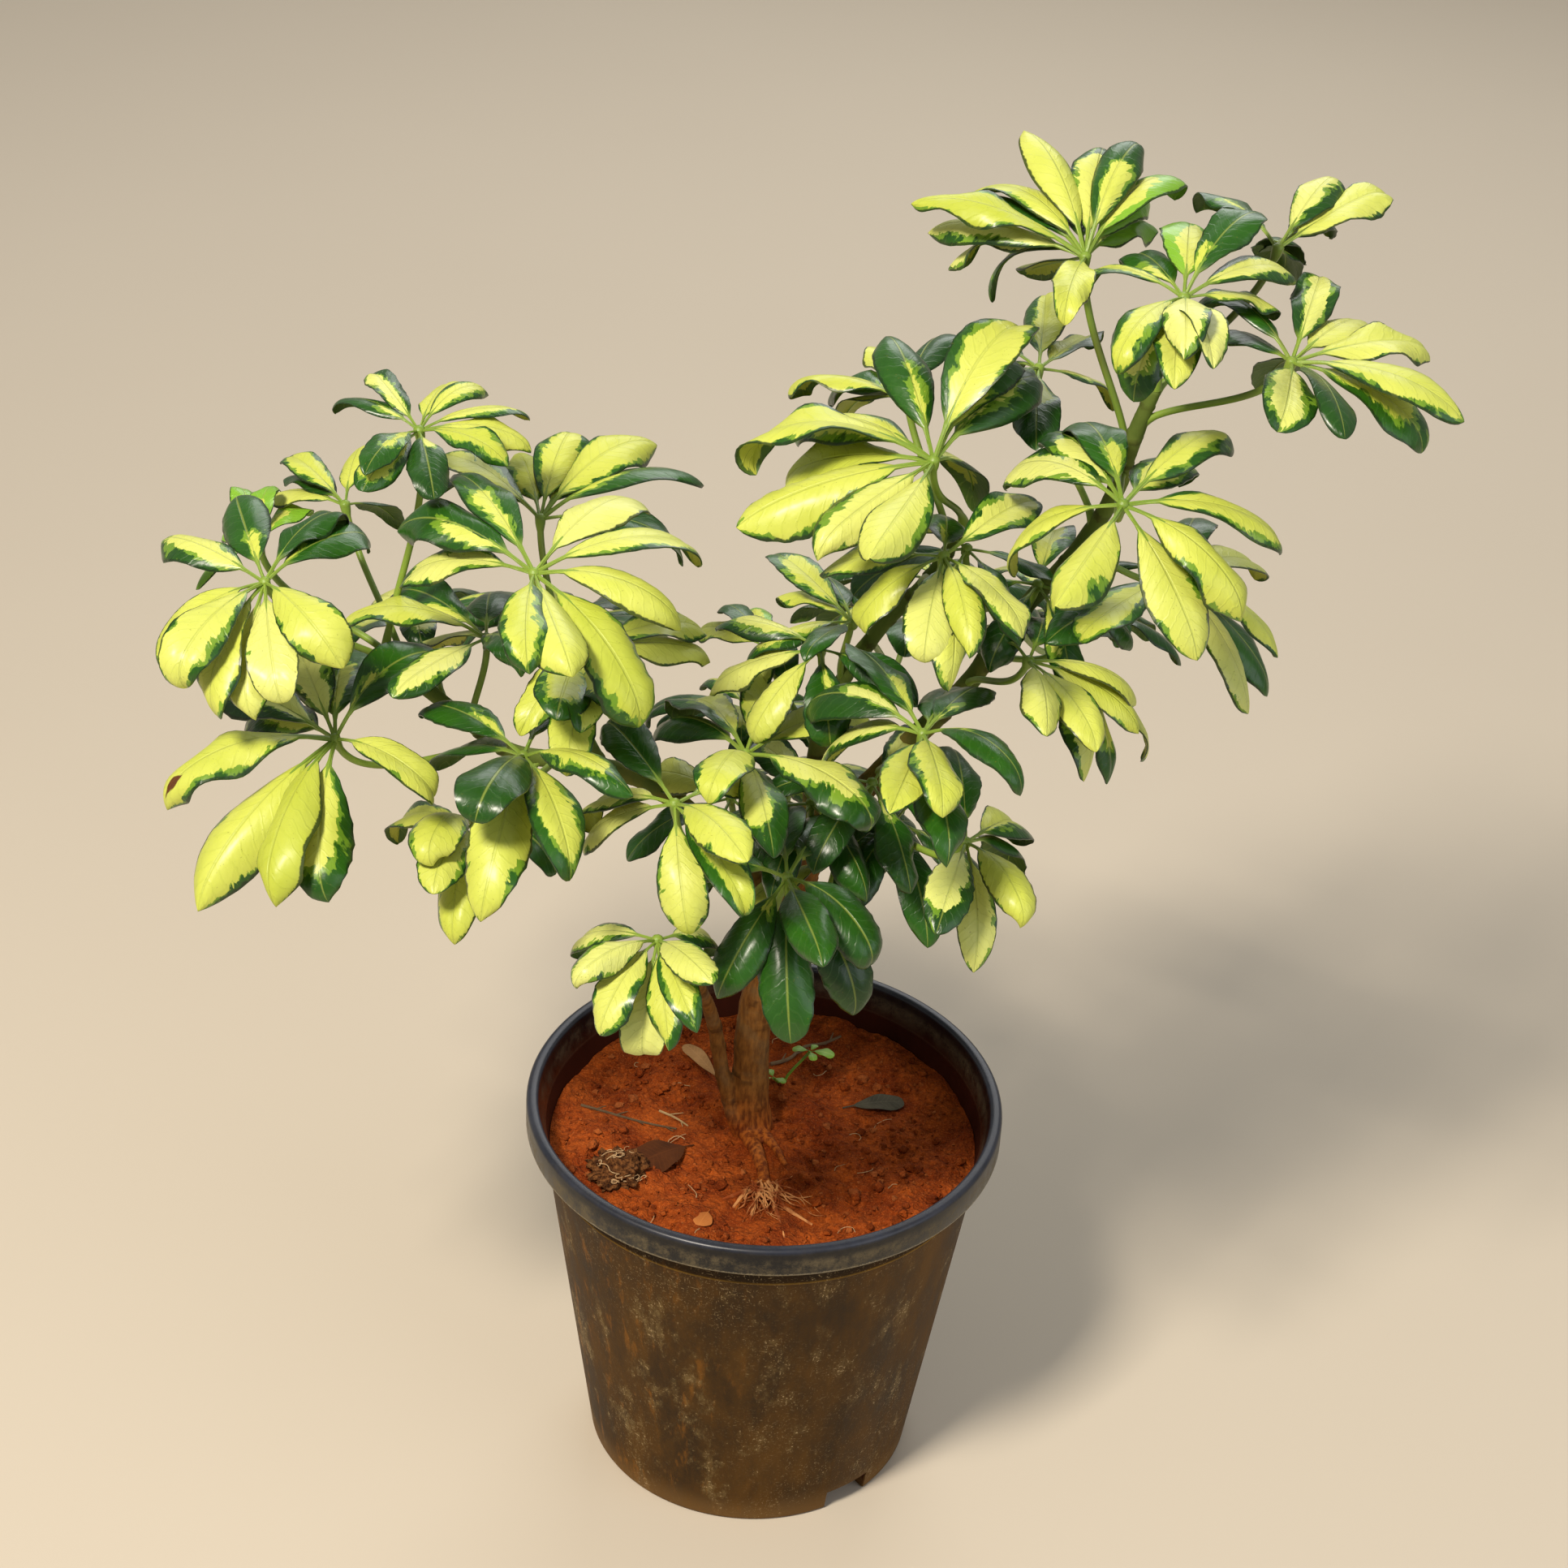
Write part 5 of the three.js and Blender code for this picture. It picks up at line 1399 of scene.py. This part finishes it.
def make_leaves():
    stalk_finish = stalk_skin()
    model = flat_leaflet("leaflet", BLADE_SPREAD, leaf_face(), leaf_back(), stalk_finish)
    for number, leaf in enumerate(LEAVES + INNER_LEAVES, start=1):
        node = f"leaf_{number:02d}"
        hub = mm(*leaf.hub)
        axis = Vector((*leaf.lean, 1)).normalized()
        pieces = []
        for row in leaf.rows.split(", "):
            kind, *figures = row.split()
            heading, rise, droop, length = map(float, figures)
            leaflet = copied(model, f"{node}_leaflet")
            bend(leaflet, hub, axis, heading, rise, droop, length * MM, BLADE_SPREAD,
                 leaf_habit(leaf.slim))
            for name, span in HEARTS[kind].items():
                paint(leaflet, name, chance.uniform(*span))
            paint(leaflet, "seed", chance.uniform(*SEEDS))
            paint(leaflet, "young", float(kind == "l"))
            paint(leaflet, "scar", float(kind == "y" and chance.random() < SCARRED))
            pieces.append(leaflet)
        pieces.append(leaf_stalk(f"{node}_stalk", leaf, hub, axis, stalk_finish))
        umbrella = joined(f"umbrella_{number:02d}", pieces)
        nodes = [] if leaf in INNER_LEAVES else [node]
        finished(umbrella, f"leaf_{leaf.tone}", *nodes, crease=50)
    bpy.data.objects.remove(model)


# Litter, clod and seedling


def make_fallen_leaves():
    for name, fallen in FALLEN_LEAVES.items():
        skin = dry_leaf(fallen.finish, fallen.light, fallen.dark)
        leaf = flat_leaflet(name, fallen.spread, skin, skin, skin)
        bend(leaf, on_earth(*fallen.start, FALLEN_LEAF_LIFT), UP, fallen.heading, fallen.rise,
             fallen.droop, fallen.length * MM, fallen.spread,
             STILL._replace(wave=0.08, fold=0.12, phase=chance.uniform(0, TURN)))
        for attribute in ("yellow", "side", "ending", "young", "scar"):
            paint(leaf, attribute, 0.0)
        paint(leaf, "seed", chance.uniform(*SEEDS))
        finished(joined(f"dry_{name}", [leaf]), "litter", name, crease=50)


def make_twigs():
    for name, twig in TWIGS.items():
        skin = dry_stem(twig.finish, twig.light, twig.dark)
        lift = twig.radius * TWIG_LIFT
        line = [on_earth(*twig.points[0], lift)]
        for (x0, y0), (x1, y1) in zip(twig.points, twig.points[1:]):
            aside = chance.uniform(-TWIG_BEND, TWIG_BEND)
            line.append(on_earth((x0 + x1) / 2 + (y1 - y0) * aside, (y0 + y1) / 2 - (x1 - x0) * aside,
                                 lift + chance.uniform(*TWIG_HEIGHTS)))
            line.append(on_earth(x1, y1, lift))
        radii = [twig.radius * MM * (1 - TWIG_TAPER * i / (len(line) - 1)) for i in range(len(line))]
        pieces = [tube(name, line, radii, skin, smoothness=10)]
        for a, b in zip(line, line[1:]):
            start = a.lerp(b, chance.uniform(*SPRIG_PLACES))
            turn = Matrix.Rotation(chance.choice(SPRIG_TURNS), 3, "Z")
            reach = chance.uniform(*SPRIG_LENGTHS)
            sprig = turn @ (b - a).normalized() * reach * MM + UP * SPRIG_RISE * MM
            pieces.append(tube("sprig", [start, start + sprig * 0.5, start + sprig],
                               [twig.radius * share * MM for share in SPRIG_RADII], skin, roundness=1))
        finished(joined(f"dry_{name}", pieces), "litter", name)


def make_clod(straw):
    centre = on_earth(*CLOD_CENTRE, CLOD_LIFT)
    clod = started(bpy.ops.mesh.primitive_ico_sphere_add, "peaty_clod", subdivisions=5, radius=1)
    for corner in clod.data.vertices:
        out = corner.co.normalized()
        rough = sum(size * noise.noise(out * finesse) for finesse, size in CLOD_LUMPS)
        size = Vector(CLOD_SIZE) * MM * (1 + rough)
        corner.co = centre + Vector(a * b for a, b in zip(out, size))
    clod.data.materials.append(clod_earth())
    pieces = [clod]
    for i in range(CLOD_ROOTS):
        out = Vector((chance.uniform(-1, 1), chance.uniform(-1, 1), chance.uniform(0, 1))).normalized()
        line = []
        for _ in range(CLOD_ROOT_KNOTS):
            reach = Vector(a * b for a, b in zip(out, CLOD_SIZE)) * MM
            line.append(centre + reach * chance.uniform(*CLOD_ROOT_REACH))
            stride = Vector((chance.uniform(*CLOD_ROOT_STRIDE), chance.uniform(*CLOD_ROOT_STRIDE), 0))
            out = (out + stride).normalized()
        radii = [CLOD_ROOT_RADIUS * MM] * CLOD_ROOT_KNOTS
        pieces.append(tube(f"clod_root_{i}", line, radii, straw, roundness=0))
    finished(joined("peaty_clod", pieces), "clod", "clod", crease=80)


def make_seedling():
    skin = weed_leaf()
    model = flat_leaflet("weed_leaflet", SEEDLING_SPREAD, skin, skin, skin)
    pieces = []
    for hub, leaves in SEEDLING_WHORLS.items():
        for heading, length in leaves:
            leaf = copied(model, "weed_leaf")
            bend(leaf, mm(*hub), UP, heading, SEEDLING_RISE, SEEDLING_DROOP, length * MM,
                 SEEDLING_SPREAD, STILL)
            paint(leaf, "seed", chance.uniform(*SEEDS))
            pieces.append(leaf)
    bpy.data.objects.remove(model)
    ground = on_earth(*SEEDLING_FOOT)
    deep = on_earth(*SEEDLING_FOOT, -SEEDLING_FOOT_DEPTH)
    radius = SEEDLING_STEM_RADIUS * MM
    pieces.append(tube("weed_stem", [deep, ground, mm(*SEEDLING_TOP)], [radius] * 3, skin))
    pieces.append(tube("weed_offshoot", [ground, mm(*SEEDLING_LOW)], [radius] * 2, skin))
    finished(joined("weed_seedling", pieces), "seedling", "seedling")


# Studio: camera, lights and floor


def make_camera():
    down = math.radians(CAMERA_DOWN)
    lean = math.radians(CAMERA_LEAN)
    forward = Vector((0, math.cos(down), -math.sin(down)))
    upright = Vector((0, math.sin(down), math.cos(down)))
    right = Vector((1, 0, 0)) * math.cos(lean) + upright * math.sin(lean)
    data = bpy.data.cameras.new("camera")
    data.lens = CAMERA_LENS
    data.sensor_width = CAMERA_SENSOR
    camera = bpy.data.objects.new("camera", data)
    turn = Matrix((right, right.cross(forward), -forward)).transposed()
    camera.matrix_world = Matrix.Translation(mm(*CAMERA_PLACE)) @ turn.to_4x4()
    bpy.context.collection.objects.link(camera)
    bpy.context.scene.camera = camera


def make_studio():
    for name, row in LIGHTS.items():
        data = bpy.data.lights.new(name, "AREA")
        data.size = row.size
        data.energy = row.power
        data.color = colour(row.tint)[:3]
        light = bpy.data.objects.new(name, data)
        light.location = row.place
        aim = Vector(row.aim) - Vector(row.place)
        light.rotation_euler = aim.to_track_quat("-Z", "Y").to_euler()
        bpy.context.collection.objects.link(light)
    world = bpy.data.worlds.new("studio")
    world.use_nodes = True
    sky = world.node_tree.nodes["Background"]
    sky.inputs["Color"].default_value = colour(SKY_TINT)
    sky.inputs["Strength"].default_value = SKY_STRENGTH
    bpy.context.scene.world = world
    bpy.context.scene.view_settings.view_transform = "Standard"
    floor = started(bpy.ops.mesh.primitive_plane_add, "floor", size=GROUND_WIDTH)
    floor.data.materials.append(pale_floor())


def main():
    make_camera()
    make_studio()
    fibre = root_skin()
    straw = dry_stem("pale_straw", "#d9bd92", "#94683c")
    soil = laterite()
    make_pot()
    make_earth(soil)
    make_crumbs(soil)
    make_rootlets(straw)
    make_trunk()
    make_root_tuft(fibre)
    make_leaves()
    make_fallen_leaves()
    make_twigs()
    make_clod(straw)
    make_seedling()


main()
